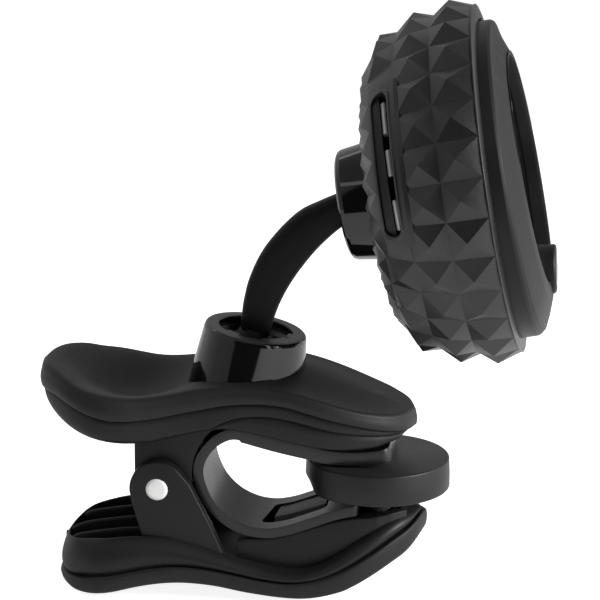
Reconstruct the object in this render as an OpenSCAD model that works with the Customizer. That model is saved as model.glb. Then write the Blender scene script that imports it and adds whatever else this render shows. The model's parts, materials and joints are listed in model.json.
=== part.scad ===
// Clip-on instrument tuner: a sprung two-lever clip, a swivelling neck and a round
// display head inside a studded rubber bumper. Millimetres, +Z up.
// Origin: centre of the jaw pad's contact ring, on its gripping plane.
// +X runs from the thumb grips to the jaw tip, +Z from the lower jaw to the head.

/* [Clip] */
// Distance from the hinge pin to the centre of the jaw pad
pad_reach = 30.4; // [30.2:0.1:30.6]
// Height of the hinge pin's axis above the pad's gripping plane
pin_rise = 0.8; // [0.6:0.1:1]
// Radius of the round jaw pad
pad_r = 9.8; // [9.5:0.1:9.9]
// Thickness of the jaw pad
pad_t = 4.4; // [4.2:0.1:4.4]
// Radius of the hinge pin
pin_r = 1.6; // [1.4:0.1:1.8]
// Radius of the ball on the pad's stud
stud_ball_r = 2.7; // [2.6:0.05:2.75]

/* [Spring] */
// Width of the spring strip
strip_w = 13.4; // [12:0.1:13.4]
// Thickness of the spring strip
strip_t = 1.3; // [1:0.1:1.3]

/* [Neck] */
// Lean of the collar's axis towards the jaw, in degrees
collar_lean = 9; // [8:1:10]
// Radius of the lower ball of the neck
ball_lo_r = 5.3; // [5.2:0.05:5.3]
// Radius of the upper ball of the neck
ball_hi_r = 4.1; // [4:0.05:4.1]
// Width of the neck across the clip
neck_w = 3.6; // [3.2:0.1:3.8]

/* [Head] */
// Angle the head's face looks up from level, in degrees
head_pitch = 11; // [10:1:12]
// Number of studs in each row round the bumper
studs = 28; // [20:1:30]
// Depth of the grooves between the studs
stud_h = 1.5; // [1.2:0.1:1.6]
// Radius of the display opening in the bezel
view_r = 16; // [15.5:0.1:16.2]
// Radius of the power button
button_r = 2.6; // [2.4:0.1:2.6]

/* [Fits] */
// Radial clearance of every turning or sliding fit
run = 0.05; // [0.03:0.01:0.08]

/* [Hidden] */
$fn = 64;

stack_gap = 0.02; // between parts stacked face to face

// centres of the collar rim and the head seam, from the hinge pin
rim_at = [12.69, 0, 21.24];
seam_at = [46.59, 0, 44.28];
// ball centres: the lower below the collar rim, the upper along the head's axis from its seam
ball_lo_depth = 4.5;
ball_hi_z = -18.5;
ball_lo_at = rim_at - ball_lo_depth * [sin(collar_lean), 0, cos(collar_lean)];
ball_hi_at = seam_at + ball_hi_z * [cos(head_pitch), 0, sin(head_pitch)];

// ---- curves and outlines ---------------------------------------------------------

curve_steps = 3; // pieces between one measured point and the next

function last(points) = len(points) - 1;
function flip(points) = [for (i = [last(points) : -1 : 0]) points[i]];
function unit(v) = v / norm(v);

// Catmull-Rom point between start and end
function bend(before, start, end, after, t) =
    0.5 * (2 * start + (end - before) * t
           + (2 * before - 5 * start + 4 * end - after) * t * t
           + (3 * start - before - 3 * end + after) * t * t * t);
function curve(points) = concat(
    [for (i = [0 : last(points) - 1]) for (j = [0 : curve_steps - 1])
        bend(points[max(i - 1, 0)], points[i], points[i + 1],
             points[min(i + 2, last(points))], j / curve_steps)],
    [points[last(points)]]);

// closes a half plan with its mirror image across the X axis
function mirrored(points) = concat(points, [for (p = flip(points)) if (p[1] > 0) [p[0], -p[1]]]);

// closed outline of a strip lying on the left of a line
function left_of(points, i) =
    let (along = unit(points[min(i + 1, last(points))] - points[max(i - 1, 0)]))
    [-along[1], along[0]];
function strip(points, thickness) = concat(points,
    [for (i = [last(points) : -1 : 0]) points[i] + thickness * left_of(points, i)]);

function box(x0, x1, z0, z1) = [[x0, z0], [x1, z0], [x1, z1], [x0, z1]];

// ---- basic solids ----------------------------------------------------------------

// a closed outline in X and Z, carried across the clip from y0 to y1
module slab(outline, y0, y1)
    translate([0, y1, 0]) rotate([90, 0, 0]) linear_extrude(y1 - y0) polygon(outline);
module mid_slab(outline, half_width) slab(outline, -half_width, half_width);
module rod(radius, z0, z1) translate([0, 0, z0]) cylinder(r = radius, h = z1 - z0);
// a rod along Y, centred on the clip
module cross_rod(radius, half_length) rotate([90, 0, 0]) rod(radius, -half_length, half_length);
module turned(profile) rotate_extrude() polygon(profile);
module tile(x0, x1, half_width, z0, z1)
    translate([x0, -half_width, z0]) cube([x1 - x0, 2 * half_width, z1 - z0]);

// ---- frames ----------------------------------------------------------------------

module at_pin() translate([-pad_reach, 0, pin_rise]) children();
// the pad's axis, at the height of the pin
module at_stud() at_pin() translate([pad_reach, 0, 0]) children();
// local +Z points up the collar's axis, from the centre of its rim
module at_collar() at_pin() translate(rim_at) rotate([0, collar_lean, 0]) children();
// local +Z looks out of the display, local +X points down
module at_head() at_pin() translate(seam_at) rotate([0, 90 - head_pitch, 0]) children();

// ---- outlines of the two levers, from the hinge pin --------------------------------

// side outlines [x, z], thumb end to jaw end
upper_top = curve([
    [-17.9, 13.4], [-17.3, 15.6], [-16, 16.7], [-14, 16.2], [-12, 15.4], [-10, 14.9],
    [-8, 14.45], [-5, 13.95], [-2, 13.7], [2, 14.2], [6, 15.2], [11, 15.7], [16, 15.6],
    [20, 14.9], [24, 13.6], [28, 12.4], [31, 11.5], [34, 10.4], [35.7, 8.9]]);
upper_seam = curve([
    [-17.5, 11.7], [-14, 11.1], [-9, 10.4], [-5, 9.9], [-1, 10.2], [3, 11.4], [7, 12.5],
    [11, 13.2], [15, 13.4], [19, 12.9], [23, 11.9], [27, 10.8], [31, 9.7], [35.4, 8.4]]);
upper_under = curve([
    [-16.7, 11.2], [-15, 9.2], [-12, 7.5], [-9, 6.7], [-5, 6.2], [-1, 6.5], [3, 7.6],
    [7, 9.1], [10, 9.4], [14, 8.6], [18, 7.8], [22, 7.1], [26, 6.6], [30, 6.6],
    [32.5, 7.0], [34.8, 8.0]]);
lower_rim = curve([
    [-14.9, -13.6], [-14.6, -11.2], [-13.4, -9.4], [-11, -8.4], [-8, -7.7], [-4, -7.0],
    [1, -7.1], [5, -7.9], [9, -9.1], [13, -10.3], [17.5, -11.1], [21, -11.0],
    [24.5, -9.4], [28, -7.1], [31.5, -4.4], [34, -3.0], [36.6, -2.9]]);
lower_seam = curve([
    [-15.1, -14.1], [-11, -13.6], [-6.5, -12.8], [-2, -11.8], [2, -11.2], [6, -11.2],
    [10.5, -11.8], [15, -12.7], [19, -12.9], [22.5, -12.3], [26, -10.9],
    [29.5, -8.9], [33, -6.6], [37.1, -4.2]]);
lower_foot = curve([
    [-15.3, -14.3], [-14.6, -15.7], [-11, -16.0], [-7, -15.4], [-2, -14.1], [3, -13.4],
    [8, -13.7], [13, -14.6], [18, -15.0], [22, -14.8], [26, -13.7], [29.5, -11.9],
    [33, -9.4], [35.8, -6.8], [37.3, -4.5]]);

// half plans [x, y], thumb end to jaw end
upper_plan = curve([
    [-17.9, 0], [-17.3, 3.8], [-16, 6.5], [-14, 9.1], [-12, 11.0], [-9.5, 12.4], [-7, 12.9],
    [-4, 12.6], [0, 11.5], [4, 10.7], [9, 10.4], [15, 10.5], [20, 10.6], [24, 10.4],
    [27, 9.8], [30, 8.6], [32.5, 6.8], [34.6, 4.0], [35.7, 0]]);
lower_plan = curve([
    [-15.3, 0], [-14.9, 3.4], [-13.7, 6.7], [-12, 9.2], [-9.5, 11.1], [-6.5, 11.8],
    [-3, 11.6], [1, 11.1], [6, 10.8], [14, 10.7], [21, 10.8], [26, 10.4], [30, 9.1],
    [33.4, 6.9], [36, 4.0], [37.3, 0]]);

slab_half_w = 14;      // side outlines reach past the plans
plan_half_l = 26;      // nominal half length and half width that an inset is scaled by
plan_half_w = 11.5;

// a plan scaled about [middle, 0] to pull its ends and sides in by about inset
module inset_plan(plan, middle, inset, z0, z1)
    translate([0, 0, z0]) linear_extrude(z1 - z0) polygon(mirrored([for (p = plan)
        [middle + (p[0] - middle) * (1 - inset / plan_half_l), p[1] * (1 - inset / plan_half_w)]]));
module upper_block(inset) inset_plan(upper_plan, 8.9, inset, 5, 20);
module lower_block(inset) inset_plan(lower_plan, 11, inset, -18, 2);

lever_inset = 0.7; // levers stand in from their grip covers

// ---- collar, z from its rim --------------------------------------------------------

collar_floor = -9;
collar_profile = [ // [radius, z]
    [0, 0], [6.7, 0], [7.1, -0.2], [7.3, -0.7], [8.55, -8.6], [8.55, collar_floor],
    [0, collar_floor]];
cup_lo_r = ball_lo_r + 0.7;
cup_bore_r = cup_lo_r + run;
cup_bore_top = -1.05;
mouth_r = 5.2;
mouth_floor = -1.2;
lug_r = 4.3; // inner reach of the mouth's lugs
lug_w = 2.4;

// room that the collar and the cup take from the upper lever and its cover
module collar_seat() at_collar() {
    turned(collar_profile);
    rod(cup_bore_r, -9.7, cup_bore_top);
    rod(3.4, -10.4, collar_floor);
}

module socket_collar() color([0.05, 0.05, 0.06]) at_collar() difference() {
    turned(collar_profile);
    rod(cup_bore_r, -10, cup_bore_top);
    // mouth, leaving four lugs
    difference() {
        rod(mouth_r, mouth_floor, 1);
        for (a = [35 : 90 : 305]) rotate([0, 0, a])
            translate([lug_r, -lug_w / 2, -2]) cube([3, lug_w, 4]);
    }
    rod(lug_r, mouth_floor, 1);
}
module friction_washer() color("silver") at_collar() difference() {
    rod(5.9, -9.65, collar_floor - stack_gap);
    rod(3.9, -10, -8);
}
module lower_ball_cup() color([0.2, 0.2, 0.22]) at_collar() difference() {
    rod(cup_lo_r, collar_floor + stack_gap, -1.1);
    translate([0, 0, -ball_lo_depth]) sphere(ball_lo_r + run);
}

// ---- upper lever -------------------------------------------------------------------

knuckle_r = 3.5;
knuckle_half_w = 6.6;
knuckle_side = [ // [x, z]
    [-knuckle_r, 8.2], [-knuckle_r, 0], [knuckle_r, 0], [4.4, 3], [5.6, 6], [7.2, 9.6], [0, 10]];
stud_tip_r = 1.5;
stud_tip_top = 9.2;
thumb_dish_r = 24.4;
thumb_dish_at = [-7, 0, 36.6];

module upper_lever() color([0.11, 0.11, 0.12]) difference() {
    at_pin() union() {
        intersection() {
            mid_slab(concat(upper_under, flip(upper_seam)), slab_half_w);
            upper_block(lever_inset);
        }
        // knuckle that carries the hinge pin
        mid_slab(knuckle_side, knuckle_half_w);
        cross_rod(knuckle_r, knuckle_half_w);
    }
    at_pin() cross_rod(pin_r + run, 8);
    collar_seat();
    at_stud() rod(stud_tip_r, 0, stud_tip_top);
}
module upper_grip_cover() color([0.16, 0.16, 0.17]) difference() {
    at_pin() intersection() {
        mid_slab(concat(upper_seam, flip(upper_top)), slab_half_w);
        upper_block(0);
    }
    collar_seat();
    at_pin() translate(thumb_dish_at) sphere(thumb_dish_r);
}

// ---- lower lever -------------------------------------------------------------------

// side outlines [x, z]
ear_r = 4.1;
ear_side = concat([for (a = [205 : -15 : -10]) ear_r * [cos(a), sin(a)]],
    [[5.2, -0.6], [6.4, -2.8], [7.8, -5.6], [10, -10.4], [-1.6, -9.6], [-2.8, -5.4]]);
jaw_hollow = [
    [10.5, 0], [10.5, -8.9], [14, -10.4], [20, -10.9], [24, -10.2], [28, -8.3],
    [31.5, -6.4], [35.2, -5.2], [35.2, 0]];
trough = [[-12.4, 0], [-12.4, -9.8], [-10, -10.6], [-4.5, -10.6], [-4.5, 0]];
spring_seat = [
    [11, -11.4], [11, -7.75], [12.4, -7.55], [14.6, -7.4], [17.2, -7.12], [20, -6.42],
    [24.2, -4.97], [27.6, -4.42], [28.5, -4.35], [28.5, -9.2], [24, -11.2], [20, -12.2],
    [14, -12]];
trough_rib = [[-12.6, -9.9], [-12, -8.9], [-4.4, -8.5], [-4.4, -11], [-12.6, -11]];
rib_half_w = 0.6;
liner_side = [
    [28.8, -5.6], [31.5, -5.5], [35, -4.3], [35, -5.2], [31.5, -6.35], [28.8, -7.82]];

module ear() slab(ear_side, 6.85, 8.75);
module lower_lever() color([0.11, 0.11, 0.12]) difference() {
    at_pin() union() {
        difference() {
            intersection() {
                mid_slab(concat(lower_seam, flip(lower_rim)), slab_half_w);
                lower_block(lever_inset);
            }
            // hollow of the jaw, open upwards
            intersection() {
                mid_slab(jaw_hollow, 12);
                lower_block(3.4);
            }
            // trough behind the hinge
            mid_slab(trough, 7.6);
        }
        ear();
        mirror([0, 1, 0]) ear();
        // seat that the spring's lower arm lies on
        mid_slab(spring_seat, 6.9);
        // stiffening ribs in the trough
        for (y = [-5, 0, 5]) slab(trough_rib, y - rib_half_w, y + rib_half_w);
    }
    at_pin() cross_rod(pin_r, 10);
    // room for the turning knuckle
    at_pin() cross_rod(knuckle_r + 0.4, knuckle_half_w + 0.15);
}
module lower_grip_cover() color([0.16, 0.16, 0.17]) at_pin() intersection() {
    mid_slab(concat(lower_foot, flip(lower_seam)), slab_half_w);
    lower_block(0);
}
module hinge_pin() color([0.85, 0.85, 0.85]) at_pin() cross_rod(pin_r, 8.95);
module lower_jaw_liner() color([0.08, 0.08, 0.09]) difference() {
    at_pin() intersection() {
        mid_slab(liner_side, 5.6);
        lower_block(3.5);
    }
    at_stud() rod(3, -8, 2);
}

// ---- clip spring: one bent strip ---------------------------------------------------

// inner face [x, z] from the pin: lower arm, round the bend, upper arm
spring_line = curve([
    [27.6, -2.9], [24.2, -3.4], [20, -4.85], [17.2, -5.6], [14.6, -5.9], [12, -5.4],
    [9.6, -4.0], [7.6, -1.6], [6.6, 1.2], [6.8, 4.0], [8.1, 6.0], [10.4, 7.3],
    [12.6, 7.0], [16, 6.1], [20, 5.2], [24, 4.35], [27.6, 4.25], [31.4, 4.7]]);
module clip_spring() color([0.13, 0.13, 0.14]) difference() {
    at_pin() mid_slab(strip(spring_line, strip_t), strip_w / 2);
    // window in the lower arm
    at_pin() mid_slab(box(15.6, 23.6, -9, 0), 3.2);
    // stud hole in the upper arm, round notch in the end of the lower arm
    at_stud() rod(2.4, 2, 9);
    at_stud() rod(3.1, -8, 0);
}

// ---- jaw pad on its ball stud, z from the pin's height -------------------------------

stud_ball_z = -2.3;
hub_r = 4.2;
flange_r = 5.2;
flange_z = [1.2, 2.2];
flange_gap = 0.05; // above and below the flange
// jaw pad
ring_w = 0.7;
ring_h = 0.5;
pad_chamfer = 0.3;

module pad_stud() color([0.3, 0.3, 0.31]) at_stud() {
    translate([0, 0, stud_ball_z]) sphere(stud_ball_r);
    rod(1.3, stud_ball_z, 6.5);
    rod(stud_tip_r, 6.4, stud_tip_top);
}
module pad_hub() color([0.2, 0.2, 0.21]) at_stud() difference() {
    union() {
        rod(hub_r, -0.3, 3.2);
        rod(flange_r, flange_z[0], flange_z[1]);
    }
    translate([0, 0, stud_ball_z]) sphere(stud_ball_r + 0.06);
    rod(1.7, -1, 5);
}
// a rubber disc with a raised contact ring round its gripping face, built at the origin
module jaw_pad() color([0.09, 0.09, 0.1]) difference() {
    turned([[0, ring_h], [pad_r - ring_w, ring_h], [pad_r - ring_w, 0], [pad_r, 0],
            [pad_r, pad_t - pad_chamfer], [pad_r - pad_chamfer, pad_t], [0, pad_t]]);
    rod(hub_r + run, 0.4, pad_t + 1);
    translate([0, 0, pin_rise])
        rod(flange_r + run, flange_z[0] - flange_gap, flange_z[1] + flange_gap);
}

// ---- neck: two balls joined by a curved arm ------------------------------------------

// side outlines [x, z] from the pin, bottom to top
neck_back = curve([
    [10.3, 17.6], [10.9, 20.6], [11.1, 23.5], [11.4, 25.9], [12.2, 29.1], [13.9, 32.8],
    [16.4, 36.1], [19.1, 38.7], [21.9, 40.2], [24.6, 41.4], [27.0, 42.0]]);
neck_front = curve([
    [14.0, 17.6], [14.7, 20.6], [15.4, 23.3], [16.4, 25.9], [17.7, 28.4], [19.2, 30.7],
    [21.2, 33.3], [23.2, 35.4], [25.2, 37.1], [27.6, 38.4]]);
module neck_arm() color([0.1, 0.1, 0.11]) at_pin() {
    translate(ball_lo_at) sphere(ball_lo_r);
    translate(ball_hi_at) sphere(ball_hi_r);
    mid_slab(concat(neck_front, flip(neck_back)), neck_w / 2);
}

// ---- back of the head, z from its seam -----------------------------------------------

cup_hi_r = 5.1;
cup_hi_back = -20;
cap_r = 7.4;
cap_front = -14.9;
retainer_front = -13.9;
screw_r = 0.7;
screw_ring_r = 10;
slot_w = 0.3;
door_ang = -114.5; // centre of the battery door, degrees round from the head's lowest point

// profiles [radius, z]
shell_outer = [
    [cap_r, -16.3], [14.8, -16.1], [19.0, -13.2], [21.0, -9.6], [21.6, -5], [21.6, 0]];
shell_inner = [
    [20.2, 0], [20.2, -5], [19.6, -9.2], [17.8, -12.4], [14.2, cap_front], [cap_r, cap_front]];
door_profile = [[17, -14.15], [20.9, -14.15], [22.0, -12.2], [23.2, -9.85], [17, -9.85]];
bumper_outer = [
    [22.3, 1.0], [23.9, 1.0], [24.3, 0.5], [25.5, -2.8], [24.0, -5.3], [24.6, -7.9],
    [22.7, -10.5], [22.1, -13.5], [19.6, -15.2], [17.3, -17.1], [14.9, -17.0],
    [12.6, -18.0], [10.8, -17.2], [8.9, -18.1], [8.1, -17.5]];

module at_screws()
    for (a = [0 : 120 : 240]) rotate([0, 0, a]) translate([screw_ring_r, 0, 0]) children();
// part of a ring, centred on the battery door
module door_sector(span, profile)
    rotate([0, 0, door_ang - span / 2]) rotate_extrude(angle = span) polygon(profile);
module door_gap() door_sector(62, box(16, 26, -14.2, -9.8));

module upper_ball_cup() color([0.2, 0.2, 0.22]) at_head() difference() {
    rod(cup_hi_r, cup_hi_back, -14.95);
    translate([0, 0, ball_hi_z]) sphere(ball_hi_r + run);
}
module socket_cap() color([0.04, 0.04, 0.05]) at_head() difference() {
    turned([[0, -21.6], [6.8, -21.6], [7.25, -21.4], [cap_r, -20.9], [cap_r, cap_front],
            [0, cap_front]]);
    rod(cup_hi_r + run, cup_hi_back - 0.05, -14);
    rod(4.5, -22, cup_hi_back);
}
module cup_retainer() color([0.12, 0.12, 0.13]) at_head() difference() {
    rod(12, cap_front, retainer_front);
    rod(4.2, -16, -13);
    at_screws() rod(screw_r, -16, -13);
}
module retainer_screws() color("silver") at_head() at_screws() difference() {
    union() {
        rod(screw_r, -15.9, -13.5);
        rod(1.3, retainer_front, -13.1);
    }
    translate([-slot_w / 2, -2, -13.35]) cube([slot_w, 4, 1]);
}
module rear_shell() color([0.13, 0.13, 0.14]) at_head() difference() {
    turned(concat(shell_outer, shell_inner));
    door_gap();
    at_screws() rod(screw_r, -15.95, -13);
}
module battery_door() color([0.14, 0.14, 0.15]) at_head() difference() {
    door_sector(61.6, door_profile);
    // finger slot
    door_sector(55, box(19.2, 25, -13.8, -11.9));
}
// rubber bumper over the shell, its rows of studs parted by V grooves
module head_bumper() color([0.15, 0.15, 0.16]) at_head() difference() {
    turned(concat(bumper_outer, [[8.1, -16.3]],
        [for (i = [1 : last(shell_outer)]) shell_outer[i]], [[22.3, 0]]));
    for (i = [0 : studs - 1]) rotate([0, 0, (i + 0.06) * 360 / studs])
        translate([25.6, 0, -11]) linear_extrude(14)
            polygon([[-stud_h, 0], [1, -2.6], [1, 2.6]]);
    door_gap();
}

// ---- front of the head ---------------------------------------------------------------

view_up = 1.15;    // display centre, towards the top
button_dn = 13.85; // button centre, towards the bottom
bezel_profile = [ // [radius, z]
    [12, 5.3], [17.8, 5.2], [20.2, 4.5], [21.7, 3.5], [22.25, 2.7], [22.25, 0], [20.2, 0],
    [20.2, 1.5], [12, 1.5]];
lens_r = 16.6;
lens_front = 2.6;
boss_r = 3.45;
lens_gap = 0.1; // round the lens and the button's boss

module at_view() translate([-view_up, 0, 0]) children();
module at_button() translate([button_dn, 0, 0]) children();

module front_bezel() color([0.18, 0.18, 0.19]) at_head() difference() {
    union() {
        difference() {
            turned(bezel_profile);
            at_view() rod(view_r, 0, 8);
            at_view() rod(lens_r + lens_gap, 1, lens_front + 0.05);
        }
        at_button() rod(boss_r, 1.5, 6.2);
    }
    at_button() rod(button_r + run, 0, 8);
}
module display_lens() color([0.05, 0.05, 0.07]) at_head() difference() {
    at_view() rod(lens_r, 1.6, lens_front);
    at_button() rod(boss_r + lens_gap, 1, 3);
}
module power_button() color([0.03, 0.03, 0.04]) at_head() at_button()
    turned([[0, 0.3], [3.2, 0.3], [3.2, 1.1], [button_r, 1.1], [button_r, 5.9], [2.2, 6.15],
            [0, 6.2]]);

// ---- inside the head -------------------------------------------------------------------

board_back = -6.4;
board_front = -4.8;
contact_top = board_back - stack_gap;
cell_back = -11.8;
contact_t = 0.4;
plus_x = 10.1;  // faces of the contacts' upright legs
minus_x = -13;
minus_back = -12.15;

module lcd_module() color([0.25, 0.28, 0.27]) at_head() tile(-14, 9.6, 10.4, -1.3, 1.5);
module light_guide() color("white") at_head() tile(-13.5, 9.2, 10, -3.4, -1.35);
module circuit_board() color([0.05, 0.3, 0.15]) at_head() difference() {
    rod(19, board_back, board_front);
    for (a = [45 : 90 : 315]) rotate([0, 0, a]) translate([17, 0, 0]) rod(0.8, -8, -3);
}
module tact_switch() color([0.1, 0.1, 0.1]) at_head() at_button() {
    tile(-2.6, 2.6, 2.6, board_front + stack_gap, -1.8);
    rod(1.4, -2, -0.35);
}
module piezo_sensor() color([0.8, 0.65, 0.3]) at_head() {
    rod(6.4, retainer_front + stack_gap, -13.65);
    rod(4.6, -13.7, -13.4);
}
module coin_cell() color([0.8, 0.8, 0.8]) at_head() {
    rod(10, -11.6, -8.5);
    rod(8.6, cell_back, -8.4);
}
module contact_positive() color([0.8, 0.75, 0.55]) at_head() {
    tile(plus_x, plus_x + contact_t, 2.5, -11.2, contact_top);
    tile(plus_x, 14, 2.5, contact_top - contact_t, contact_top);
}
module contact_negative() color([0.8, 0.75, 0.55]) at_head() {
    tile(minus_x, 5, 2, minus_back, cell_back - stack_gap);
    tile(minus_x, minus_x + contact_t, 2, minus_back, contact_top);
}

// ---- one line per piece ----------------------------------------------------------------

lower_lever();
lower_grip_cover();
hinge_pin();
clip_spring();
lower_jaw_liner();
upper_lever();
upper_grip_cover();
socket_collar();
friction_washer();
pad_stud();
pad_hub();
jaw_pad();
lower_ball_cup();
neck_arm();
upper_ball_cup();
socket_cap();
cup_retainer();
retainer_screws();
rear_shell();
head_bumper();
battery_door();
front_bezel();
display_lens();
lcd_module();
light_guide();
circuit_board();
tact_switch();
piezo_sensor();
coin_cell();
contact_positive();
contact_negative();
power_button();
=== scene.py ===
"""Clip-on tuner: a two-lever spring clip, a neck with a ball at each end and a round head.

Shape code is in millimetres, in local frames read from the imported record's joints; meshes
are made in metres.
  PIN     at the hinge pin: x from the thumb end to the jaw, y along the pin, z up
  COLLAR  at the lower socket: z up its axis
  HEAD    at the display: z out of its face, -x towards the top of the head
The near side, where the camera stands, is -y in all three.
"""
import json
import math

import bmesh
import bpy
import numpy as np
from mathutils import Matrix, Vector


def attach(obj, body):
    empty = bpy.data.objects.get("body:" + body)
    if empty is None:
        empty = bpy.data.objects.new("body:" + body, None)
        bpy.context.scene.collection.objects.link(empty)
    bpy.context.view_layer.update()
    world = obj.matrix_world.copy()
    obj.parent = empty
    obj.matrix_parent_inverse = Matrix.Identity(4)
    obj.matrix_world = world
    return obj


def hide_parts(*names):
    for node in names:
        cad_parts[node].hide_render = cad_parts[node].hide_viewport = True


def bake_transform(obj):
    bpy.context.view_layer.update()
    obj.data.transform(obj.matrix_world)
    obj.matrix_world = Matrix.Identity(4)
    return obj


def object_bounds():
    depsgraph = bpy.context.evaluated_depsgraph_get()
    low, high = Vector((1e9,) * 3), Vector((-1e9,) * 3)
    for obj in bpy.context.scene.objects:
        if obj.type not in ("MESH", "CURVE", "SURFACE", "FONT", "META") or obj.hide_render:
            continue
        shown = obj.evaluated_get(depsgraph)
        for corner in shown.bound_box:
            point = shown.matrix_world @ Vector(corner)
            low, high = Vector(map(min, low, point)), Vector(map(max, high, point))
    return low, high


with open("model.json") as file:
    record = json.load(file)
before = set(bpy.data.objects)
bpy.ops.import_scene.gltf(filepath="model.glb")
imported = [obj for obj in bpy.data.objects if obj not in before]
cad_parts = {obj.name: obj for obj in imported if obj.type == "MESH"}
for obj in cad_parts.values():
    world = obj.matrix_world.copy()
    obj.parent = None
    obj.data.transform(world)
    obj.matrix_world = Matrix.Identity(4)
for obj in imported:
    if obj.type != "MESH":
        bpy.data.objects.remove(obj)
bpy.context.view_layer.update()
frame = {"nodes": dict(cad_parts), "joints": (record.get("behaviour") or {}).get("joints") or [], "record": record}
NODES = frame["nodes"]
JOINTS = {j["name"]: j for j in frame["joints"]}
SLOT_OF = {s["node"]: s["material_slot"] for s in frame["record"]["subparts"] if "material_slot" in s}
MM = 0.001


def cosd(angle):
    return math.cos(math.radians(angle))


def sind(angle):
    return math.sin(math.radians(angle))


# ------------------------------------------------------------------ local frames


class Axes:
    """A local frame in millimetres; calling it turns local points into world metres."""

    def __init__(self, origin, x, y, z):
        self.origin = np.array(origin, float)
        self.rows = np.array([x, y, z], float)

    def __call__(self, points):
        return (self.origin + np.asarray(points, float).reshape(-1, 3) @ self.rows) * MM

    def local(self, points):
        return (points / MM - self.origin) @ self.rows.T


def joint_mm(name):
    return np.array(JOINTS[name]["pos_m"], float) * 1000.0


def tilted(direction, origin, shift=(0, 0, 0)):
    """Frame whose z is one joint's axis, placed at another joint and shifted in its own axes."""
    axis = np.array(JOINTS[direction]["axis"], float)
    rows = np.array([(axis[2], 0, -axis[0]), (0, 1, 0), axis])
    return Axes(joint_mm(origin) + np.array(shift) @ rows, *rows)


PIN = Axes(joint_mm("clip_open"), (1, 0, 0), (0, 1, 0), (0, 0, 1))
COLLAR = tilted("base_swivel", "base_swivel", shift=(0.2, 0, 0))
HEAD = tilted("head_spin", "head_spin", shift=(0, 0, 18.5))
LOWER_BALL = tilted("base_swivel", "base_tilt")
UPPER_BALL = tilted("head_spin", "head_tilt")

# ------------------------------------------------------------------ curves


def spline(points, steps):
    """Catmull-Rom curve through the points, with a number of steps to each span."""
    P = np.array(points, float)
    out = []
    for i in range(len(P) - 1):
        a, b, c, d = P[max(i - 1, 0)], P[i], P[i + 1], P[min(i + 2, len(P) - 1)]
        for t in np.arange(steps) / steps:
            out.append(0.5 * (2 * b + (c - a) * t + (2 * a - 5 * b + 4 * c - d) * t * t
                              + (3 * b - a - 3 * c + d) * t ** 3))
    out.append(P[-1])
    return np.array(out)


def resample(line, count, ease=0.0):
    """Points spread along a line by length; ease draws them towards its ends."""
    length = np.r_[0, np.cumsum(np.linalg.norm(np.diff(line, axis=0), axis=1))]
    u = np.linspace(0, 1, count)
    u = u * (1 - ease) + ease * (0.5 - 0.5 * np.cos(np.pi * u))
    return np.stack([np.interp(u * length[-1], length, column) for column in line.T], 1)


def curve(points):
    """Height as a smooth function of x, through (x, height) points."""
    P = spline(points, 16)
    P = P[np.argsort(P[:, 0], kind="stable")]
    return lambda x: np.interp(x, P[:, 0], P[:, 1])


def linear(points):
    """Value as a piecewise linear function of x, from (x, value) points."""
    P = np.array(points, float)
    return lambda x: np.interp(x, P[:, 0], P[:, 1])


def smooth(start, end, x):
    t = np.clip((np.asarray(x, float) - start) / (end - start), 0, 1)
    return t * t * (3 - 2 * t)


def arc(cx, cz, radius, start, end, count):
    return [[cx + radius * cosd(a), cz + radius * sind(a)] for a in np.linspace(start, end, count)]


def ball_arc(radius, last, count, z=0.0):
    """Ball profile (radius, height) from its lowest point up to the angle last."""
    return [[radius * sind(a), z - radius * cosd(a)] for a in np.linspace(0, last, count)]


def rounded(corners, steps=5):
    """Outline from (across, up, corner radius) rows; a radius of 0 stays sharp."""
    corners = np.array(corners, float)
    P, radii = corners[:, :2], corners[:, 2]
    out = []
    for i, p in enumerate(P):
        if radii[i] <= 0:
            out.append(p)
            continue
        a, b = P[i - 1] - p, P[(i + 1) % len(P)] - p
        len_a, len_b = np.linalg.norm(a), np.linalg.norm(b)
        a, b = a / len_a, b / len_b
        angle = math.acos(max(-1, min(1, float(a @ b))))
        if angle > math.pi - 1e-3 or angle < 1e-3:
            out.append(p)
            continue
        reach = min(radii[i] / math.tan(angle / 2), 0.49 * len_a, 0.49 * len_b)
        r = reach * math.tan(angle / 2)
        centre = p + (a + b) / np.linalg.norm(a + b) * (r / math.sin(angle / 2))
        first, last = p + a * reach - centre, p + b * reach - centre
        w = math.acos(max(-1, min(1, float(first @ last) / (r * r))))
        for q in (j / steps for j in range(steps + 1)):
            out.append(centre + (math.sin((1 - q) * w) * first + math.sin(q * w) * last) / math.sin(w))
    return np.array(out)


# ------------------------------------------------------------------ shells and pieces


class Shell:
    """One closed surface: points in metres, faces, material slot and how it is finished."""

    def __init__(self, points, faces, material=0, bevel=0.0, bevel_angle=30, bevel_steps=2, merge=2e-6):
        self.points, self.faces, self.material = np.asarray(points, float), faces, material
        self.bevel, self.bevel_angle, self.bevel_steps = bevel, bevel_angle, bevel_steps
        self.merge = merge

    def reshape(self, axes, change):
        """Passes the points through change() in the given frame."""
        self.points = axes(change(axes.local(self.points)))
        return self


def rings(loops, axes, cap=True, closed=False, **finish):
    """Rings of equal length joined one to the next; closed joins the last to the first."""
    m, n = len(loops), len(loops[0])
    faces = []
    for i in range(m if closed else m - 1):
        a, b = i * n, ((i + 1) % m) * n
        for j in range(n):
            k = (j + 1) % n
            faces.append((a + j, a + k, b + k, b + j))
    if cap and not closed:
        faces.append(tuple(range(n))[::-1])
        faces.append(tuple(range((m - 1) * n, m * n)))
    return Shell(axes(np.concatenate(loops)), faces, **finish)


def turned(profile, angle, centre=(0, 0)):
    """A (radius, height) profile stood at one angle, in radians, about z."""
    r, z = np.asarray(profile, float).T
    return np.stack([centre[0] + r * math.cos(angle), centre[1] + r * math.sin(angle), z], 1)


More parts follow.
